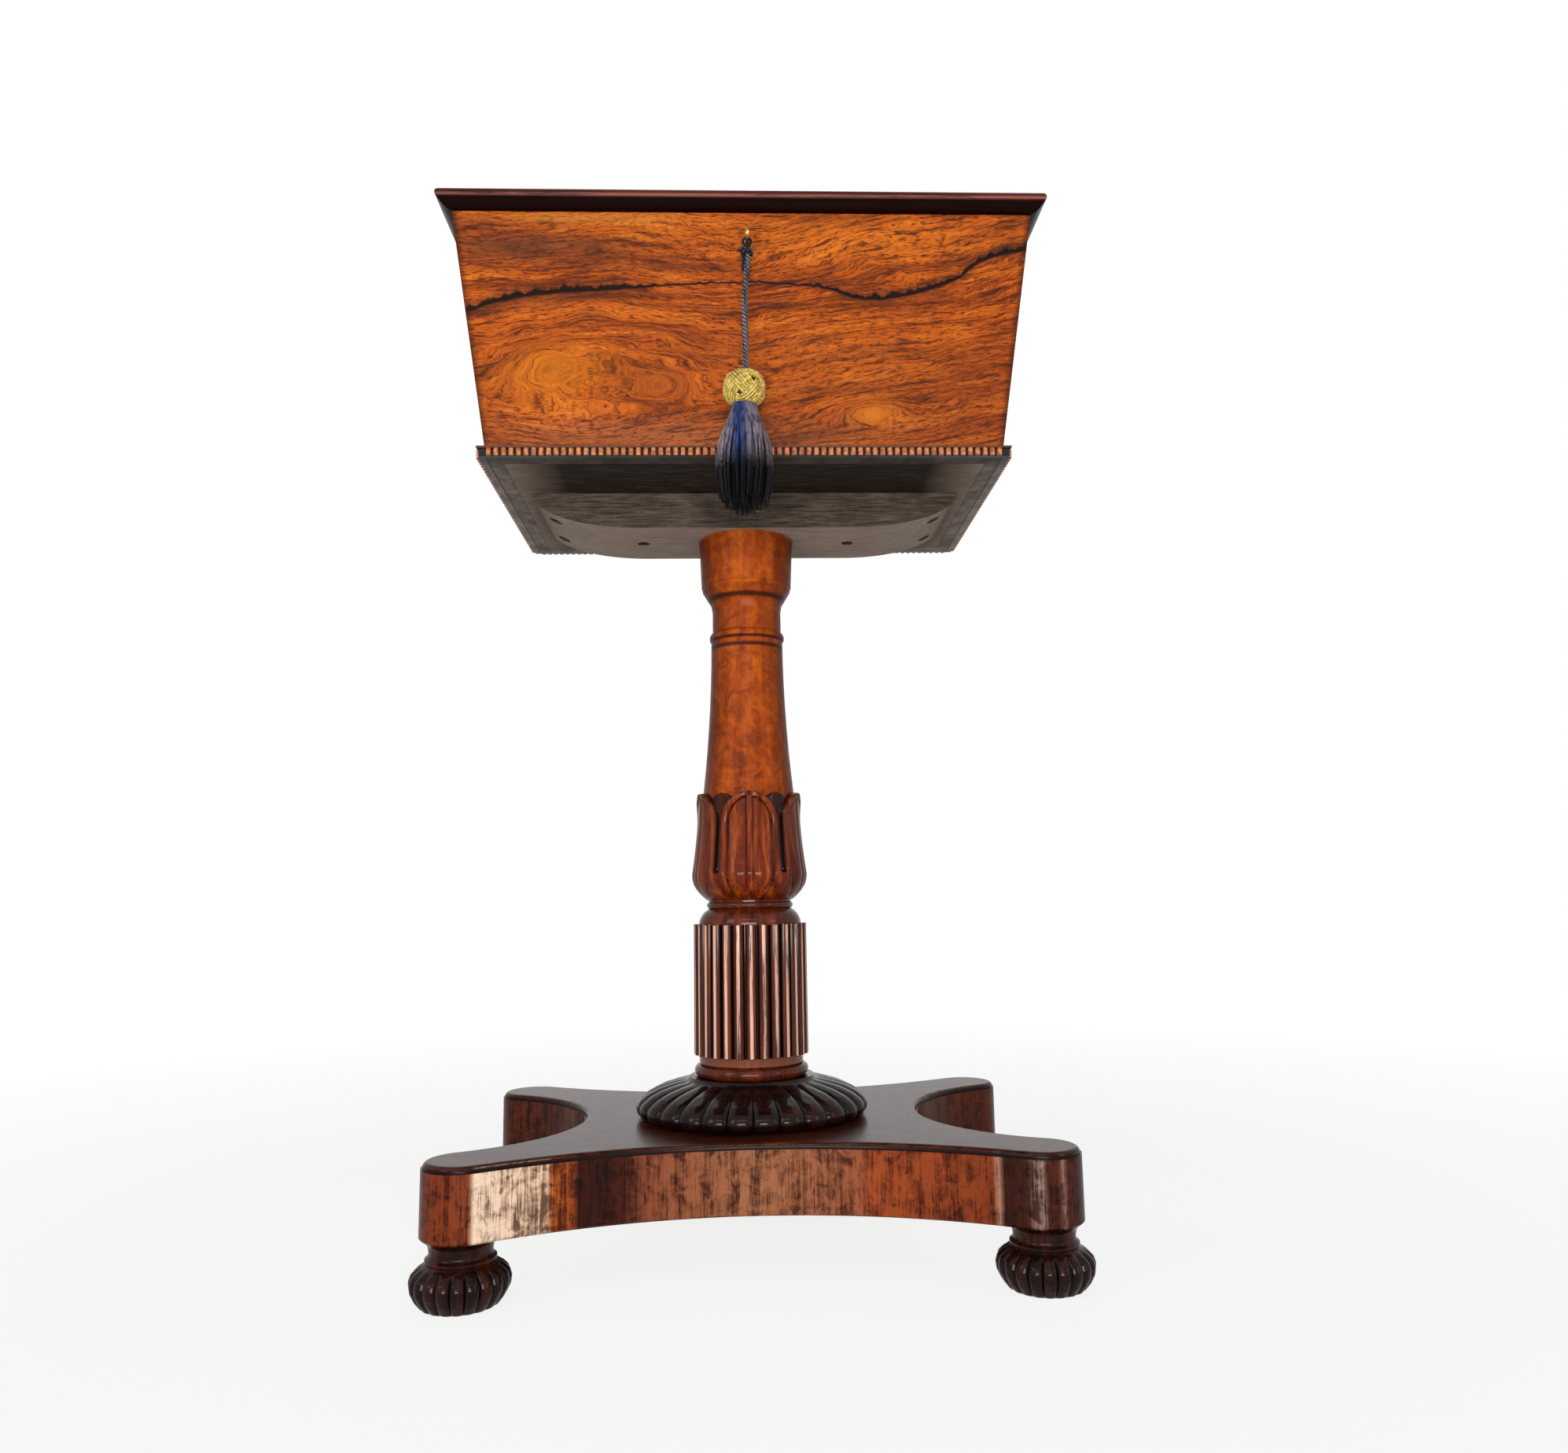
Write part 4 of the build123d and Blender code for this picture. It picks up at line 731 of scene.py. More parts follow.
@dataclass(frozen=True)
class GoldBraid:
    """Gold-coloured gimp cord, silk wrapped round a core: fine turns 0.5 mm apart with a satin glint."""

    name: str = "gold_gimp_cord"

    def material(self) -> bpy.types.Material:
        """Build the braid; its wrapping follows the tube's own UV map."""
        r = Recipe.material(self.name)
        around = r.axis(r.put("UVMap", uv_map="UVMap"))
        along = around.node.outputs[1]
        turn = r.math("MULTIPLY_ADD", along, 420.0, around)
        turn = r.math("MULTIPLY", turn, math.tau)
        wrap = r.math("SINE", turn)
        cloud = r.noise(r.position(), 0.4, 3.0)
        tone = r.math("MULTIPLY_ADD", wrap, 0.06, cloud)
        colour = r.ramp(tone, (0.34, "#A87C14"), (0.5, "#E8C654"), (0.66, "#FAE694"))
        return r.shell(
            colour, 0.42, wrap, 0.06, Metallic=0.15, Specular_IOR_Level=0.4, Sheen_Weight=0.08, Sheen_Roughness=0.3
        )


# ------------------------------------------------------------------ modelling helpers


def only(*objects: bpy.types.Object) -> None:
    """Select these objects alone, the last one active."""
    bpy.ops.object.select_all(action="DESELECT")
    for piece in objects:
        piece.select_set(True)
        bpy.context.view_layer.objects.active = piece


def named(name: str, material: bpy.types.Material) -> bpy.types.Object:
    """Name the active object and give it its only material.

    Args:
        name: The piece's name.
        material: Its finish.

    Returns:
        The piece.
    """
    piece = bpy.context.object
    piece.name = piece.data.name = name
    piece.data.materials.clear()
    piece.data.materials.append(material)
    return piece


def smooth(piece: bpy.types.Object, degrees: float = 35.0) -> None:
    """Shade a piece smooth but for its sharper edges."""
    only(piece)
    bpy.ops.object.shade_smooth_by_angle(angle=math.radians(degrees))


def dress(nodes: list[str], material: bpy.types.Material) -> None:
    """Give CAD nodes a finish.

    Args:
        nodes: Their names.
        material: The finish.
    """
    for name in nodes:
        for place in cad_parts[name].material_slots:
            place.material = material
    log.info("dressed %s", ", ".join(nodes))


def strands_along(
    path: list[Vector], count: int, lay: float, radius: float, pitch: float, name: str, material, steps: int = 10
) -> bpy.types.Object:
    """Twist equal strands round a path, as a rope is laid.

    Args:
        path: Points along the middle line, in metres.
        count: How many strands.
        lay: Distance of each strand from the middle, in metres.
        radius: Radius of one strand, in metres.
        pitch: Length of one full turn, in metres.
        name: Name of the piece.
        material: Its finish.
        steps: Points in one turn.

    Returns:
        The joined strands.
    """
    reach = [0.0]
    for a, b in zip(path, path[1:]):
        reach.append(reach[-1] + (b - a).length)
    total = max(4, round(reach[-1] / abs(pitch) * steps))
    made = []
    for strand in range(count):
        data = bpy.data.curves.new(f"{name}_{strand}", "CURVE")
        data.dimensions = "3D"
        data.bevel_depth, data.bevel_resolution, data.use_fill_caps = radius, 1, True
        line = data.splines.new("POLY")
        line.points.add(total)
        side = Vector((1, 0, 0))
        for i in range(total + 1):
            far = reach[-1] * i / total
            k = min(max(j for j, s in enumerate(reach) if s <= far + 1e-12), len(path) - 2)
            here = path[k].lerp(path[k + 1], (far - reach[k]) / max(reach[k + 1] - reach[k], 1e-9))
            ahead = (path[k + 1] - path[k]).normalized()
            side = (side - ahead * side.dot(ahead)).normalized()
            other = ahead.cross(side)
            angle = math.tau * (far / pitch + strand / count)
            line.points[i].co = (*(here + lay * (math.cos(angle) * side + math.sin(angle) * other)), 1)
        piece = bpy.data.objects.new(f"{name}_{strand}", data)
        bpy.context.scene.collection.objects.link(piece)
        only(piece)
        bpy.ops.object.convert(target="MESH")
        made.append(bpy.context.object)
    only(*made)
    if len(made) > 1:
        bpy.ops.object.join()
    piece = named(name, material)
    smooth(piece, 60)
    mesh = piece.data
    spots = np.empty(len(mesh.vertices) * 3)
    mesh.vertices.foreach_get("co", spots)
    line = np.array([tuple(p) for p in path])
    near = np.full(len(mesh.vertices), np.inf)
    for a, b in zip(line, line[1:]):
        share = np.clip((spots.reshape(-1, 3) - a) @ (b - a) / max((b - a) @ (b - a), 1e-12), 0, 1)
        near = np.minimum(near, np.linalg.norm(spots.reshape(-1, 3) - a - share[:, None] * (b - a), axis=1))
    reach = lay + radius
    groove = mesh.attributes.new("hollow", "FLOAT", "POINT")
    groove.data.foreach_set("value", np.clip((0.99 * reach - near) / (0.12 * reach), 0, 1).astype(np.float32))
    return piece


Carving = Callable[[np.ndarray, np.ndarray], tuple[np.ndarray, np.ndarray, np.ndarray]]


@dataclass
class CarvedTurning:
    """A turned piece with its ornament cut by hand: a sheet of facets bent round and sunk to the carved depth.

    The carving takes the direction round the axis and the share of the way up the profile; it returns the
    radius, the height and how deep each place lies, the first two in millimetres.
    """

    name: str
    segments: int
    rows: int
    carve: Carving

    def build(self, material: bpy.types.Material) -> bpy.types.Object:
        """Make the piece.

        Args:
            material: Its finish.

        Returns:
            The piece, standing on the column's axis.
        """
        bpy.ops.object.select_all(action="DESELECT")
        bpy.ops.mesh.primitive_grid_add(x_subdivisions=self.segments, y_subdivisions=self.rows, size=1)
        piece = named(self.name, material)
        mesh = piece.data
        flat = np.empty(len(mesh.vertices) * 3)
        mesh.vertices.foreach_get("co", flat)
        flat = flat.reshape(-1, 3) + 0.5
        angle = flat[:, 0] * math.tau
        radius, height, hollow = self.carve(angle, flat[:, 1])
        place = np.stack([radius * np.cos(angle), radius * np.sin(angle), height], 1) * MM
        mesh.vertices.foreach_set("co", place.ravel())
        depth = mesh.attributes.new("hollow", "FLOAT", "POINT")
        depth.data.foreach_set("value", np.clip(hollow, 0, 1).astype(np.float32))
        only(piece)
        bpy.ops.object.mode_set(mode="EDIT")
        bpy.ops.mesh.select_all(action="SELECT")
        bpy.ops.mesh.remove_doubles(threshold=1e-6)
        bpy.ops.mesh.normals_make_consistent(inside=False)
        bpy.ops.object.mode_set(mode="OBJECT")
        smooth(piece, 50)
        return piece


def gadrooned(profile: tuple[tuple[float, float, float], ...], count: int, base: float) -> Carving:
    """Carve rounded lobes round a turned profile.

    Args:
        profile: Points up the profile: radius and height of the lobes' crests, and the depth between them.
        count: Lobes in one round.
        base: Height of the profile's zero.

    Returns:
        The carving.
    """
    points = np.array(profile)
    knots = np.linspace(0, 1, len(points))
    fine = np.linspace(0, 1, 60 * len(points))
    smoothed = np.stack([np.interp(fine, knots, points[:, i]) for i in range(3)], 1)
    kernel = np.hanning(25) / np.hanning(25).sum()
    padded = np.pad(smoothed, ((12, 12), (0, 0)), mode="edge")
    smoothed = np.stack([np.convolve(padded[:, i], kernel, mode="valid") for i in range(3)], 1)
    way = np.concatenate([[0], np.cumsum(np.hypot(*np.diff(smoothed[:, :2], axis=0).T))])
    slope = np.gradient(smoothed[:, :2], axis=0)
    slope /= np.maximum(np.linalg.norm(slope, axis=1), 1e-9)[:, None]

    def carve(angle: np.ndarray, share: np.ndarray) -> tuple[np.ndarray, np.ndarray, np.ndarray]:
        """Sink the gaps between the lobes along the profile's normal."""
        far = share * way[-1]
        radius, height, depth = (np.interp(far, way, smoothed[:, i]) for i in range(3))
        along_r, along_z = (np.interp(far, way, slope[:, i]) for i in range(2))
        off = np.abs((angle / math.tau * count + count / 4) % 1 - 0.5) * 2
        sunk = depth * (1 - np.sqrt(np.clip(1 - (0.985 * off) ** 2, 0, 1)))
        hollow = np.clip(depth / 1.5, 0, 1) * np.clip((off - 0.55) / 0.4, 0, 1)
        return radius - sunk * along_z, base + height + sunk * along_r, hollow

    return carve


# ------------------------------------------------------------------ camera, light and floor


@dataclass(frozen=True)
class Studio:
    """Camera in front of the lock, soft boxes, white surround and a pale floor."""

    eye: tuple[float, float, float] = (-8.8, -942.4, 258.3)
    yaw: float = 2.334
    pitch: float = 8.278
    roll: float = -0.907
    focal_px: float = 1480.0

    def camera(self) -> None:
        """Set the camera at the viewer's place."""
        yaw, pitch, roll = (math.radians(a) for a in (self.yaw, self.pitch, self.roll))
        ahead = Vector((math.sin(yaw) * math.cos(pitch), math.cos(yaw) * math.cos(pitch), math.sin(pitch)))
        right = Vector((math.cos(yaw), -math.sin(yaw), 0))
        up = right.cross(ahead)
        across = right * math.cos(roll) + up * math.sin(roll)
        upright = -right * math.sin(roll) + up * math.cos(roll)
        turn = Matrix((across, upright, -ahead)).transposed()
        bpy.ops.object.camera_add(location=Vector(self.eye) * MM, rotation=turn.to_euler())
        camera = bpy.context.object
        camera.data.sensor_width = 36
        camera.data.lens = self.focal_px * 36 / PHOTO_WIDTH
        camera.data.clip_start = 0.01
        bpy.context.scene.camera = camera

    def lamp(self, name: str, place: tuple, aim: tuple, size: tuple[float, float], watts: float) -> None:
        """Hang one soft box.

        Args:
            name: The lamp's name.
            place: Where it hangs, in metres.
            aim: The point it faces.
            size: Its width and height.
            watts: Its power.
        """
        bpy.ops.object.light_add(type="AREA", location=place)
        lamp = bpy.context.object
        lamp.name = name
        lamp.rotation_euler = (Vector(aim) - Vector(place)).to_track_quat("-Z", "Y").to_euler()
        lamp.data.shape = "RECTANGLE"
        lamp.data.size, lamp.data.size_y = size
        lamp.data.energy = watts
        lamp.visible_camera = False

    def light(self) -> None:
        """Light the object from the front, with the brighter box on the left."""
        self.lamp("window_box", (-1.5, -1.35, 1.2), (0, 0, 0.45), (0.6, 1.0), 9)
        self.lamp("high_strip", (-0.1, -1.6, 1.5), (0, 0, 0.5), (1.5, 0.2), 3.5)
        self.lamp("low_box", (-0.1, -1.75, 0.32), (0, 0, 0.32), (1.0, 0.36), 21)
        self.lamp("fill_box", (1.6, -1.1, 0.8), (0, 0, 0.4), (0.3, 1.0), 3.5)
        self.lamp("top_box", (0.0, 0.9, 2.0), (0, 0, 0.4), (1.6, 0.9), 4)
        self.lamp("back_card", (0.0, 2.4, 0.7), (0, 0, 0.3), (2.6, 0.9), 2.0)
        world = bpy.data.worlds.new("white_surround")
        world.use_nodes = True
        bpy.context.scene.world = world
        r = Recipe(world.node_tree)
        camera = r.put("LightPath", out="Is Camera Ray")
        rays = camera.node.outputs
        seen = r.math("MAXIMUM", camera, rays["Is Transmission Ray"])
        seen = r.math("MAXIMUM", seen, rays["Is Glossy Ray"])
        strength = r.math("MAXIMUM", seen, 0.27)
        sky = r.put("Background", {"Color": linear("#FFFFFF"), "Strength": strength})
        end = world.node_tree.nodes.new("ShaderNodeOutputWorld")
        world.node_tree.links.new(sky, end.inputs["Surface"])

    def floor(self) -> None:
        """Lay the pale floor."""
        bpy.ops.object.select_all(action="DESELECT")
        bpy.ops.mesh.primitive_plane_add(size=12, location=(0, 2, 0))
        bpy.ops.object.transform_apply(location=True)
        r = Recipe.material("pale_floor")
        matt = r.put("BsdfDiffuse", {"Color": linear("#E9E8E6")})
        white = r.put("Emission", {"Color": linear("#FFFFFF"), "Strength": 1.0})
        camera = r.put("LightPath", out="Is Camera Ray")
        rays = camera.node.outputs
        seen = r.math("MAXIMUM", camera, rays["Is Transmission Ray"])
        seen = r.math("MAXIMUM", seen, rays["Is Glossy Ray"])
        # The floor goes over into the white backdrop farther out, and keeps the soft shade round the feet.
        away = r.put("VectorMath", {0: r.position()}, out="Value", operation="LENGTH")
        fade = r.fit(away, 450.0, 1500.0, 0.84, 1.0)
        share = r.math("MULTIPLY", seen, fade)
        r.put_output(r.put("MixShader", {0: share, 1: matt, 2: white}))
        named("floor", r.made)


# ------------------------------------------------------------------ cord and tassel


@dataclass
class TasselCord:
    """Navy silk cord from the key's bow, its woven gold head and its skirt of threads."""

    key_x: float = 2.0
    bow_y: float = -151.6
    hitch_z: float = 721.3
    drop: float = 88.0
    drift: float = 2.4
    head_drift: float = 3.4
    cord_radius: float = 2.2
    head_radius: float = 15.3
    head_height: float = 30.0
    skirt_length: float = 82.0
    skirt_radius: float = 20.5
    head_tilt: float = 12.0
    head_spin: float = 30.0
    threads: int = 112
    flare: tuple[tuple[float, float], ...] = (
        (0, 0.42), (0.1, 0.5), (0.28, 0.76), (0.46, 0.98), (0.66, 1.02), (0.85, 0.96), (1, 0.84)
    )

    def route(self) -> list[tuple[float, float, float]]:
        """Control points of the hanging cord, in metres."""
        points = [
            (self.key_x, self.hitch_z - 0.1),
            (self.key_x, self.hitch_z - 13),
            (self.key_x - 2.8, self.hitch_z - 36),
            (self.key_x - 1.9, self.hitch_z - 62),
            (self.key_x - self.drift, self.hitch_z - 90),
            (self.key_x - self.drift, self.hitch_z - self.drop - self.head_height + 0.1),
        ]
        return [(x * MM, self.bow_y * MM, z * MM) for x, z in points]

    def middle_line(self) -> list[Vector]:
        """Smooth line through the cord's control points, read back as points."""
        data = bpy.data.curves.new("cord_route", "CURVE")
        data.dimensions = "3D"
        data.resolution_u = 16
        spline = data.splines.new("NURBS")
        route = self.route()
        spline.points.add(len(route) - 1)
        for point, place in zip(spline.points, route):
            point.co = (*place, 1)
        spline.order_u = 3
        spline.use_endpoint_u = True
        guide = bpy.data.objects.new("cord_route", data)
        bpy.context.scene.collection.objects.link(guide)
        bpy.context.view_layer.update()
        mesh = bpy.data.meshes.new_from_object(guide)
        line = [v.co.copy() for v in mesh.vertices]
        bpy.data.objects.remove(guide)
        bpy.data.meshes.remove(mesh)
        return line

    def cord(self) -> list[bpy.types.Object]:
        """Lay up the hanging cord, its loop through the bow and its hitch."""
        silk = TwistedSilk("laid_navy_silk_cord", "#04050E", "#D6CEDA", 150.0, 3).material()
        fine = TwistedSilk("laid_navy_silk_loop", "#0A0E20", "#6C6A8C", 40.0, 3).material()
        line = self.middle_line()
        lay = 0.5 * self.cord_radius * MM
        cord = strands_along(line, 3, lay, 0.57 * self.cord_radius * MM, -9 * MM, "laid_cord", silk, 14)
        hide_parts("cord")
        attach(cord, "tassel")
        centre = Vector((self.key_x, self.bow_y, self.hitch_z + 10.4)) * MM
        ring = [
            centre + 2.9 * MM * Vector((math.sin(a), 0, math.cos(a))) for a in np.linspace(0, math.tau, 33).tolist()
        ]
        loop = strands_along(ring, 2, 0.55 * MM, 0.62 * MM, 3.65 * MM, "laid_loop", fine, 12)
        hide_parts("cord_loop")
        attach(loop, "loop")
        knot = []
        for i in range(73):
            a = math.tau * i / 72
            across = 1.35 * (math.sin(a) + 2 * math.sin(2 * a))
            deep = 0.85 * (math.cos(a) - 2 * math.cos(2 * a))
            place = Vector((across - 0.4, deep, 2.4 - 2.3 * math.sin(3 * a)))
            knot.append((place + Vector((self.key_x, self.bow_y, self.hitch_z))) * MM)
        ends = ((-6.6, 3.2), (-3.8, 2.0), (-2.8, -3.0), (-3.2, -8.0), (-3.6, -12.5))
        tail = [Vector((self.key_x + x, self.bow_y - 1.2, self.hitch_z + z)) * MM for x, z in ends]
        wrap = strands_along(knot, 2, 0.6 * MM, 0.72 * MM, -4.2 * MM, "cord_hitch_knot", fine, 10)
        end = strands_along(tail, 2, 0.6 * MM, 0.65 * MM, -4.2 * MM, "cord_hitch_tail", fine, 10)
        only(end, wrap)
        bpy.ops.object.join()
        hitch = bpy.context.object
        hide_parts("cord_hitch")
        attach(hitch, "tassel")
        log.info("laid up the cord, loop and hitch")
        return [cord, loop, hitch]

    def head(self) -> bpy.types.Object:
        """Weave the gold head: a lead of six cords that crosses over and under itself round a ball."""
        braid = GoldBraid().material()
        middle = Vector((self.key_x - self.head_drift, self.bow_y, self.hitch_z - self.drop - self.head_height / 2))
        bights, wraps, cords, count = 4, 3, 6, 300
        spin = Matrix.Rotation(math.radians(self.head_spin), 3, "Z")
        turn = Matrix.Rotation(math.radians(self.head_tilt), 3, "X") @ spin
        made = []
        for lane in range(cords):
            data = bpy.data.curves.new(f"head_lane_{lane}", "CURVE")
            data.dimensions = "3D"
            data.bevel_depth, data.bevel_resolution = 0.93 * MM, 2
            line = data.splines.new("POLY")
            line.points.add(count - 1)
            line.use_cyclic_u = True
            offset = (lane - (cords - 1) / 2) * 2.05
            for i in range(count):
                spots = []
                for j in (i, i + 1):
                    s = math.tau * wraps * j / count
                    tilt = 0.93 * math.cos(bights * s / wraps)
                    spots.append(
                        Vector((math.cos(tilt) * math.sin(s), -math.cos(tilt) * math.cos(s), math.sin(tilt)))
                    )
                s = math.tau * wraps * i / count
                lift = 0.85 * math.sin(2 * bights * s / wraps)
                here, ahead = spots[0], (spots[1] - spots[0]).normalized()
                beside = here.cross(ahead).normalized()
                reach = HEAD_BALL + lift
                spot = (here + beside * offset / HEAD_BALL).normalized()
                spot = turn @ (reach * spot)
                spot.x *= 1.06
                line.points[i].co = (*((middle + spot) * MM), 1)
            piece = bpy.data.objects.new(data.name, data)
            bpy.context.scene.collection.objects.link(piece)
            only(piece)
            bpy.ops.object.convert(target="MESH")
            made.append(bpy.context.object)
        bpy.ops.object.select_all(action="DESELECT")
        bpy.ops.mesh.primitive_uv_sphere_add(segments=32, ring_count=20, radius=13.0 * MM, location=middle * MM)
        # The ball under the cords is dark gold: painted shade in the gaps between them.
        core = named("head_core", StainedBoard("tassel_head_core", "#2A1A08", "#7A5A20", "#4A340F").material())
        bpy.ops.object.transform_apply(location=True, rotation=True, scale=True)
        only(*made)
        bpy.ops.object.join()
        head = named("woven_tassel_head", braid)
        smooth(head, 60)
        smooth(core, 60)
        for piece in (head, core):
            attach(piece, "tassel")
        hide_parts("tassel_head")
        log.info("wove the tassel's head")
        return head

    def skirt(self) -> bpy.types.Object:
        """Hang the threads of the skirt, each from the neck outwards and a little in again at the hem."""
        silk = TwistedSilk(
            "twisted_navy_silk_threads", "#020307", "#D2C4D0", self.skirt_length / 3.0, 2, (567.0, 583.0), -5.5
        ).material()
        chance = random.Random(7)
        top = self.hitch_z - self.drop - self.head_height
        middle = Vector((self.key_x - self.head_drift, self.bow_y, 0))
        data = bpy.data.curves.new("tassel_threads", "CURVE")
        data.dimensions = "3D"
        data.resolution_u = 3
        data.bevel_depth, data.bevel_resolution, data.use_fill_caps = 1.2 * MM, 1, True
        for i in range(self.threads):
            depth = 1.0 if i < 44 else math.sqrt((i - 43) / (self.threads - 43)) * 0.9
            angle = i * math.tau / 44 + chance.uniform(-0.04, 0.04) if i < 44 else i * 2.399963
            sway = chance.uniform(-1.0, 1.0)
            hem = self.skirt_length * (1.0 - 0.1 * depth**2 - 0.07 * chance.random())
            line = data.splines.new("NURBS")
            line.points.add(6)
            for k, (share, spread) in enumerate(self.flare):
                reach = depth * spread * (self.skirt_radius - 1)
                turn = angle + 0.09 * sway * share
                spot = middle + Vector(
                    (
                        reach * math.cos(turn) + 1.6 * sway * share**2,
                        reach * math.sin(turn),
                        top + 2.0 - hem * share,
                    )
                )
                line.points[k].co = (*(spot * MM), 1)
                line.points[k].radius = 1.0 if share < 0.55 else 1.0 - 0.6 * (share - 0.55) / 0.45
            line.order_u = 3
            line.use_endpoint_u = True
        piece = bpy.data.objects.new("tassel_threads", data)
        bpy.context.scene.collection.objects.link(piece)
        only(piece)
        bpy.ops.object.convert(target="MESH")
        skirt = named("tassel_threads", silk)
        smooth(skirt, 60)
        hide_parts("tassel_skirt")
        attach(skirt, "tassel")
        log.info("hung %d threads", self.threads)
        return skirt

    def build(self) -> None:
        """Make the cord first, then what hangs on it."""
        cord, loop, hitch = self.cord()
        head, skirt = self.head(), self.skirt()
        line = self.middle_line()


# ------------------------------------------------------------------ column and base


@dataclass
class Column:
    """Turned shaft, lotus cup, reeded drum and gadrooned disc."""

    lotus_z: float = 255.5
    leaf_height: float = 84.8
    leaves: int = 5
    disc_z: float = 90.4
    disc_profile: tuple[tuple[float, float, float], ...] = (
        (2.0, 0.0, 0.0),
        (78.0, 0.0, 0.5),
        (84.5, 0.4, 2.6),
        (89.0, 4.0, 3.6),
        (89.9, 8.5, 3.8),
        (87.5, 13.5, 3.8),
        (81.0, 18.5, 3.4),
        (72.0, 22.6, 2.7),
        (62.0, 25.4, 2.0),
        (54.0, 27.0, 1.2),
        (50.4, 27.6, 0.0),
        (49.4, 28.0, 0.0),
        (49.4, 30.3, 0.0),
        (38.0, 30.4, 0.0),
    )

    def lotus(self, angle: np.ndarray, share: np.ndarray) -> tuple[np.ndarray, np.ndarray, np.ndarray]:
        """Carve the lotus: rimmed leaves with a midrib, deep slots and a second row of leaves behind.

        Args:
            angle: Directions round the axis, in radians.
            share: Share of the way up, 0 to 1.

        Returns:
            The radius and height in millimetres, and how deep each place lies in the carving.
        """
        pitch = 360 / self.leaves
        turn = np.degrees(angle) + 90
        off = np.abs((turn + pitch / 2) % pitch - pitch / 2)
        h = 0.05 + (self.leaf_height - 0.15) * share
        low = np.sqrt(np.clip(25.4**2 - (21 - np.minimum(h, 21)) ** 2, 0, None)) + 44.8 - 25.4
        up = h - 21
        base = np.where(h < 21, low, 44.8 - 0.13925 * up + 0.001102 * up**2)
        mm_per_degree = base * math.pi / 180
        rise = np.clip((h - 60) / 24.6, 0, 1)
        outer = 33.3 * np.clip(1 - rise**2.2, 0, 1) ** 0.52
        arch = np.clip((h - 58) / 22.0, 0, 1)
        panel = np.where(h < 20, 24.6 - 10 * (1 - h / 20) ** 2, 25.2 * np.clip(1 - arch**2.2, 0, 1) ** 0.55)
        slot = 36.0 - off
        beside = (outer - off) * mm_per_degree
        below = np.hypot(slot * mm_per_degree, np.clip(24 - h, 0, None)) - 2.6 * mm_per_degree / 0.78
        leaf = np.where(h < 24, below, beside)
        inner = (panel - off) * mm_per_degree
        across = np.clip(leaf / np.maximum(leaf - inner, 0.5), 0, 1)
        rim = 1.7 * np.sin(math.pi * across) ** 0.6
        lobe = np.clip((off - 3.4) / 20.0, 0, 1)
        belly = 1.3 * np.sin(math.pi * np.clip(lobe, 0, 1)) ** 0.8 * np.clip(1.25 - h / 70, 0.25, 1)
        rib = np.where(off < 3.0, 0.7, 0.0)
        quirk = -1.0 * np.exp(-((inner - 0.6) ** 2) / 0.5) - 0.8 * np.exp(-((off - 3.3) ** 2) / 0.25)
        surface = np.where(inner > 0, belly + rib + quirk, rim)
        foot = np.clip(h / 12, 0, 1) ** 1.5
        surface = surface * foot
        back = (36.0 * np.sqrt(np.clip(1 - (np.clip(h - 46, 0, None) / 37.5) ** 2.4, 0, 1)) - slot) * mm_per_degree
        behind = np.where(back > 0, -3.4 + 0.7 * np.clip(back / 3, 0, 1) - 0.5 * np.exp(-(slot**2) / 1.5), 34.4 - base)
        behind = np.where((back <= 0) & (back > -0.8), -4.5, behind)
        cut = np.clip(leaf / 0.9, -1, 1) * 0.5 + 0.5
        radius = base + surface * cut + behind * (1 - cut)
        hollow = 0.85 * (1 - cut) + 0.6 * np.exp(-(leaf**2) / 1.2) + 0.7 * np.exp(-((inner - 0.3) ** 2) / 1.0)
        hollow = hollow + 0.5 * np.exp(-((off - 3.3) ** 2) / 0.4) * foot
        return radius, self.lotus_z + h, hollow

    def build(self) -> None:
        """Carve the lotus and dress the turned pieces."""
        carved = StraightRosewood(
            "carved_rosewood_waxed", Grain.Z, "#2A0B04", "#68220A", "#A85014", 0.16, 0.06, 0.3, "hollow", flank=0.6
        ).material()
        lotus = CarvedTurning("carved_lotus", 400, 130, self.lotus).build(carved)
        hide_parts("lotus_cup")
        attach(lotus, "root")
        log.info("carved the lotus")
        shaft = StraightRosewood(
            "turned_rosewood_shaft", Grain.Z, "#52200A", "#943C0A", "#BC5C10", 0.1, 0.36,
            flank=0.75, painted_shade_bands=((459.5, 2.2), (466.0, 1.6), (500.0, 2.6), (566.0, 16.0)), mottle=0.55,
        )
        drum = StraightRosewood(
            "reeded_rosewood_drum", Grain.Z, "#260B05", "#54200E", "#7A3216", 0.25, 0.08, 0.3,
            reeds=(137.5, 236.5), flank=0.6,
        )
        disc = StraightRosewood(
            "gadrooned_rosewood_disc", Grain.X, "#0A0403", "#170806", "#2C100A", 0.22, 0.06, 0.3, "hollow"
        )
        dress(["column_shaft"], shaft.material())
        dress(["reeded_drum"], drum.material())
        spread = CarvedTurning("carved_disc", 28 * 14, 60, gadrooned(self.disc_profile, 28, self.disc_z))
        spread = spread.build(disc.material())
        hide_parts("gadrooned_disc")
        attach(spread, "root")
        log.info("carved the disc")


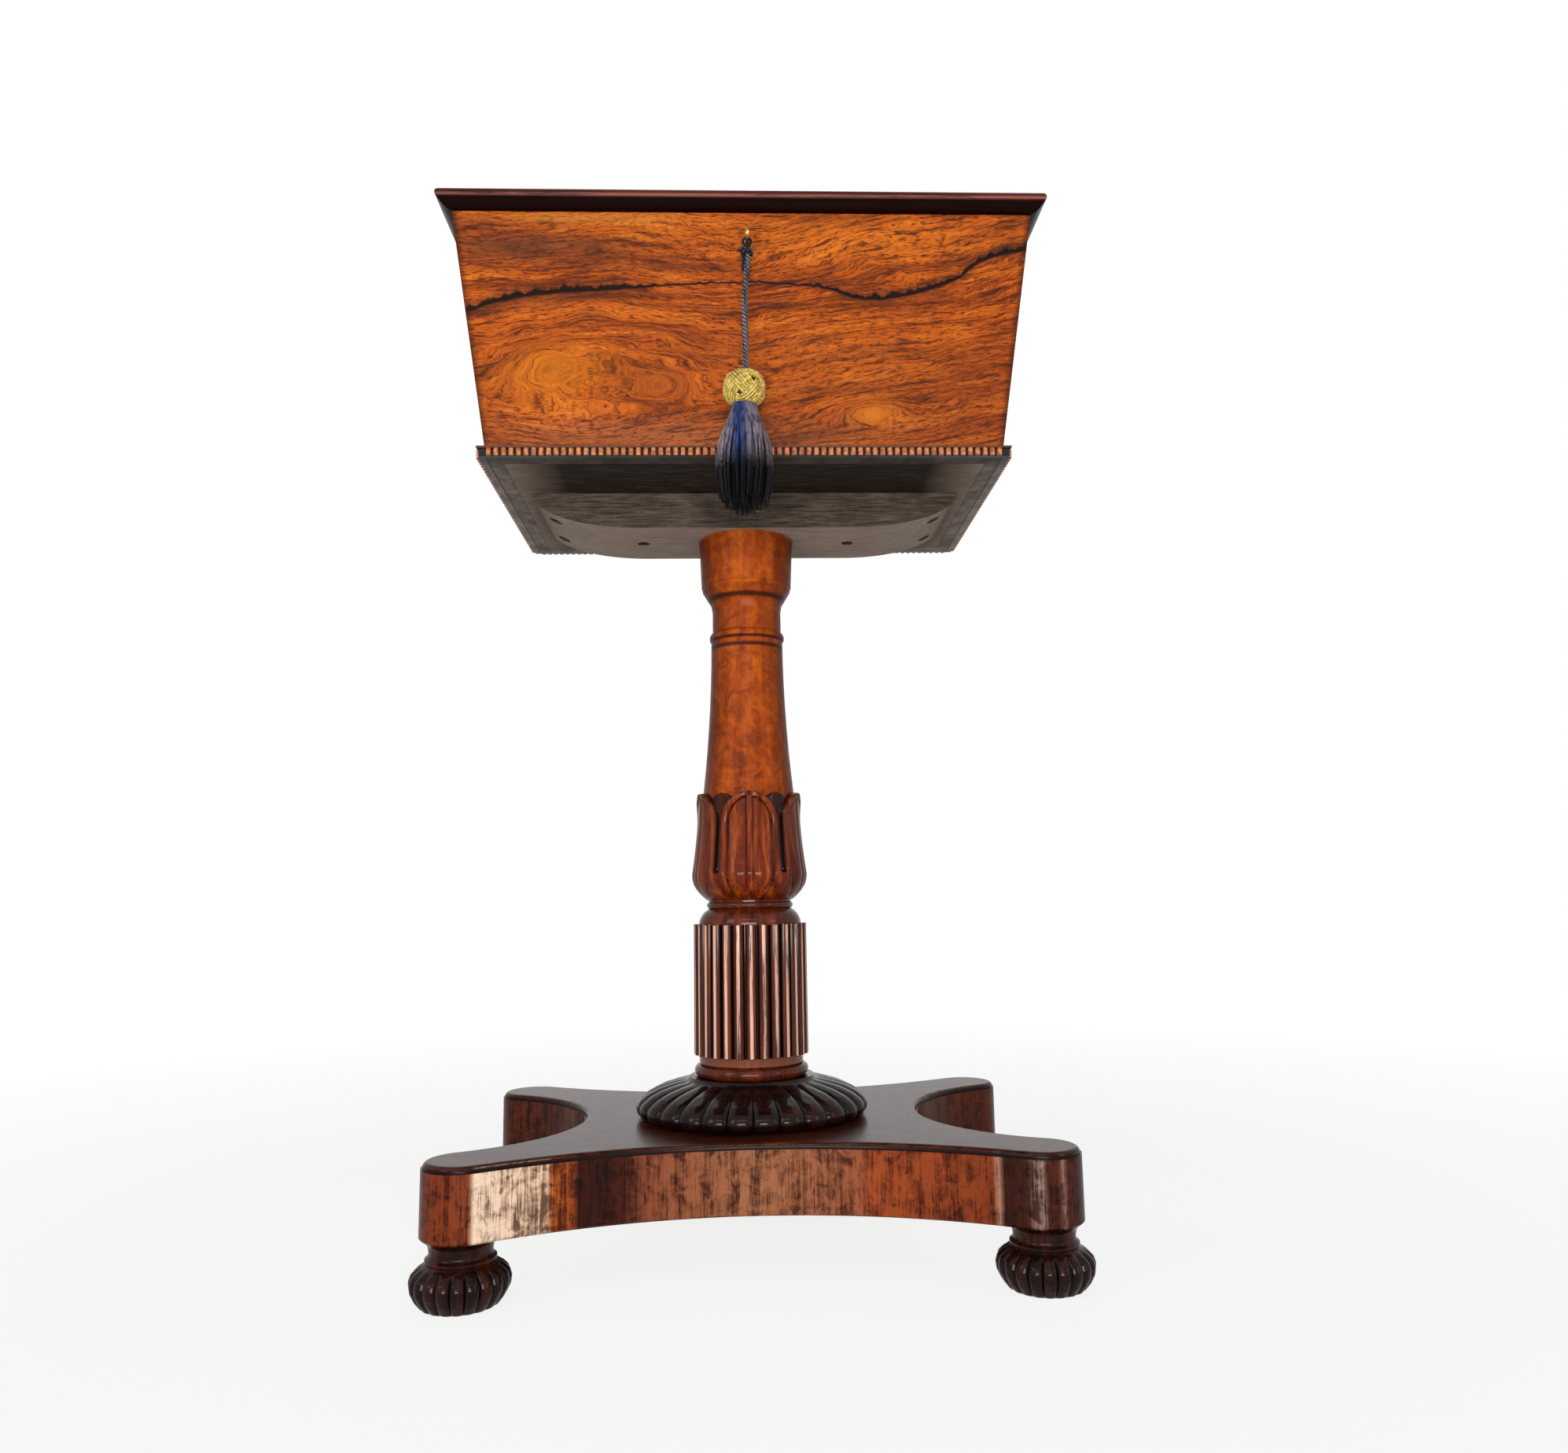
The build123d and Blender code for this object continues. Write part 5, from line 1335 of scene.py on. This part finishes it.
@dataclass
class Base:
    """Four-lobed platform and its bun feet."""

    foot_x: float = 191.6
    foot_y: float = 136.3
    foot_profile: tuple[tuple[float, float, float], ...] = (
        (2.0, 0.0, 0.0),
        (22.5, 0.0, 0.2),
        (25.5, 1.2, 1.6),
        (29.4, 6.0, 2.4),
        (32.2, 11.5, 2.7),
        (32.8, 16.5, 2.9),
        (31.4, 20.8, 2.9),
        (28.2, 23.8, 2.2),
        (25.2, 25.6, 0.6),
        (22.4, 26.8, 0.0),
        (22.4, 27.4, 0.0),
        (23.0, 28.6, 0.0),
        (23.0, 30.0, 0.0),
        (21.6, 31.0, 0.0),
        (20.6, 32.0, 0.0),
        (20.6, 35.0, 0.0),
        (21.4, 38.6, 0.0),
        (24.0, 41.6, 0.0),
        (25.2, 42.3, 0.0),
        (10.0, 42.4, 0.0),
    )

    def build(self) -> None:
        """Dress the platform and carve one foot, then copy it to the other corners."""
        dress(["platform"], PlatformVeneer().material())
        wood = StraightRosewood(
            "gadrooned_bun_foot", Grain.Z, "#0A0403", "#1E0A06", "#48190E", 0.17, 0.08, 0.32, "hollow"
        )
        first = CarvedTurning("carved_foot_fl", 20 * 14, 90, gadrooned(self.foot_profile, 20, 0.0))
        first = first.build(wood.material())
        for corner, sx, sy in (("fl", -1, -1), ("fr", 1, -1), ("bl", -1, 1), ("br", 1, 1)):
            foot = first
            if corner != "fl":
                foot = first.copy()
                foot.data = first.data.copy()
                foot.name = foot.data.name = f"carved_foot_{corner}"
                bpy.context.scene.collection.objects.link(foot)
            foot.location = (sx * self.foot_x * MM, sy * self.foot_y * MM, 0)
            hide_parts(f"foot_{corner}")
            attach(foot, "root")
        for corner in ("fl", "fr", "bl", "br"):
            only(bpy.data.objects[f"carved_foot_{corner}"])
            bpy.ops.object.transform_apply(location=True)
        log.info("carved the feet")


# ------------------------------------------------------------------ chest


@dataclass
class Chest:
    """Battered tea chest, its bead mouldings, bearer, lid, lock and what stands inside."""

    def figured_boards(self) -> None:
        """Dress the veneered boards with bookish, marbled figure."""
        front = MarbledRosewood(
            "marbled_rosewood_front",
            Grain.X,
            eyes=(
                Eye(-105, 640, 74, 31),
                Eye(-139, 644, 27, 15),
                Eye(-64, 634, 17, 10),
                Eye(94, 612, 24, 10),
            ),
            clouds=(
                Cloud(-150, 734, 82, 12, "#55301E", 0.85),
                Cloud(-60, 720, 40, 7, "#7A3C1C", 0.5),
                Cloud(-112, 756, 66, 5, "#B87028", 0.85, 0.5),
                Cloud(-110, 689, 90, 8, "#C0621C", 0.45),
                Cloud(-88, 699, 42, 3.5, "#3E1A0C", 0.7),
                Cloud(62, 630, 52, 4, "#4E2210", 0.55),
                Cloud(70, 597, 60, 4, "#4E2210", 0.55),
                Cloud(-30, 668, 80, 13, "#8C3C14", 0.45),
                Cloud(80, 742, 95, 16, "#CC6C1C", 0.6),
                Cloud(60, 655, 90, 20, "#C4641C", 0.4),
                Cloud(-60, 596, 150, 12, "#9E5A34", 0.7),
                Cloud(-190, 620, 26, 24, "#9A4A18", 0.5),
                Cloud(150, 625, 70, 38, "#6A2C12", 0.5),
                Cloud(20, 600, 40, 16, "#5A2C18", 0.45),
                Cloud(-139, 644, 38, 19, "#BC6814", 0.8, 0.75),
                Cloud(-64, 634, 24, 12, "#A85416", 0.6, 0.8),
                Cloud(94, 612, 18, 8, "#BC6A1C", 0.85, 0.7),
            ),
            vein=(
                (-215, 682, 2.0),
                (-176, 696.8, 3.0),
                (-149, 701, 3.2),
                (-93, 705.9, 2.2),
                (-60, 707.5, 0.8),
                (-26, 708.6, 0.6),
                (51, 707.9, 1.0),
                (94, 698.7, 2.4),
                (142, 707.2, 2.2),
                (180, 727.9, 2.2),
                (188, 731.0, 3.2),
                (215, 737, 1.8),
            ),
        )
        dress(["case_front"], front.material())
        left = MarbledRosewood(
            "marbled_rosewood_left_end",
            Grain.Y,
            (Eye(30, 650, 40, 20),),
            (Cloud(30, 650, 40, 18, "#CC7820", 0.7),),
            top_half=141.7,
        )
        right = MarbledRosewood(
            "marbled_rosewood_right_end",
            Grain.Y,
            (Eye(-40, 640, 40, 20),),
            (Cloud(-40, 640, 40, 18, "#CC7820", 0.7),),
            top_half=141.7,
        )
        dress(["case_left"], left.material())
        dress(["case_right"], right.material())
        back = StraightRosewood("plain_rosewood_back", Grain.X, "#3A1A0D", "#7A3D1B", "#9A5526", 0.3, 0.15, below=True)
        dress(["case_back"], back.material())

    def lid(self) -> None:
        """Dress the lid and its mouldings."""
        tones, polish, nose = ("#1E0905", "#42160C", "#5A241A"), (0.1, 0.3, 0.3), (767.6, 766.6)
        side = StraightRosewood("lid_moulding_side_grain", Grain.Y, *tones, *polish, shaded=nose)
        front = StraightRosewood("lid_moulding_front_grain", Grain.X, *tones, *polish, shaded=nose)
        dress(["lid_moulding_front"], front.material())
        under = StraightRosewood("lid_board_underside", Grain.X, "#3A180B", "#6E3418", "#8E4E28", 0.4, 0.14)
        dress(["lid_board"], under.material())
        dress(["lid_moulding_left", "lid_moulding_right"], side.material())
        top = MarbledRosewood(
            "marbled_rosewood_lid_top",
            Grain.X,
            eyes=(Eye(-70, -30, 62, 34), Eye(88, 46, 40, 22)),
            clouds=(
                Cloud(-70, -30, 40, 20, "#BC6814", 0.75, 0.7),
                Cloud(88, 46, 26, 13, "#BC6814", 0.75, 0.7),
                Cloud(10, 90, 160, 26, "#5A2C18", 0.6),
                Cloud(60, -90, 140, 22, "#63301A", 0.55),
            ),
            slope=0.1,
            flat=True,
        )
        dress(["lid_panel"], top.material())

    def beads(self) -> None:
        """Dress the bead strips, pale on the crowns and black between them."""
        for side, grain, corner, outward in (
            ("front", Grain.X, 0, -1),
            ("back", Grain.X, 1, 1),
            ("left", Grain.Y, 0, -1),
            ("right", Grain.Y, 1, 1),
        ):
            name = f"bead_strip_{side}"
            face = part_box(name)[corner][1 - grain.value] / MM
            dress([name], BeadWood(f"turned_beads_{side}", grain, face, outward).material())

    def underside(self) -> None:
        """Dress the bottom board, the bearer and its screws."""
        board = StainedBoard("stained_bottom_board", "#16110E", "#463C34", "#28211C", ends="#A89484")
        bearer = StainedBoard("stained_bearer", "#1E1814", "#685C50", "#493F37", under="#D2BDAE")
        dress(["bottom_board"], board.material())
        dress(["bearer"], bearer.material())
        steel = AgedMetal("blued_iron_screws", "#4A4540", "#1A1512").material()
        dress([f"bearer_screw_{i}" for i in range(1, 7)], steel)
        dull = AgedMetal("dull_steel", "#8A8680", "#4A443E").material()
        dress(["hinge_pin_left", "hinge_pin_right", "lock_bolt"], dull)

    def fittings(self) -> None:
        """Dress the brass, the deck, caddies and glass bowls."""
        brass = AgedMetal("aged_lacquered_brass", "#C79B4E", "#6E4A1E").material()
        dress(["key", "escutcheon", "lock_body", "lock_link_plate"], brass)
        dress([f"hinge_{part}_leaf_{side}" for part in ("case", "lid") for side in ("left", "right")], brass)
        lining = StraightRosewood("polished_mahogany_lining", Grain.X, "#6E3418", "#A05A2E", "#BE7A44", 0.3, 0.2)
        dress(["inner_deck"], lining.material())
        divider = StraightRosewood("polished_mahogany_divider", Grain.Y, "#6E3418", "#A05A2E", "#BE7A44", 0.3, 0.2)
        dress(["divider_left", "divider_right"], divider.material())
        box = StraightRosewood("rosewood_caddy", Grain.X, "#2E130B", "#5A2915", "#8A4A22", 0.5, 0.12)
        dress([f"{kind}_{c}" for kind in ("caddy", "caddy_lid") for c in ("fl", "fr", "bl", "br")], box.material())
        dress(["mixing_bowl_front", "mixing_bowl_back"], ClearGlass().material())

    def build(self) -> None:
        """Dress the whole chest."""
        self.figured_boards()
        self.lid()
        self.beads()
        self.underside()
        self.fittings()


def main() -> None:
    """Build the scene, piece by piece."""
    logging.basicConfig(level=logging.INFO, format="%(message)s")
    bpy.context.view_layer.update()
    studio = Studio()
    studio.camera()
    TasselCord().build()
    studio.light()
    studio.floor()
    Column().build()
    Base().build()
    Chest().build()
    bpy.context.scene.view_settings.view_transform = "Standard"


if __name__ == "__main__":
    main()
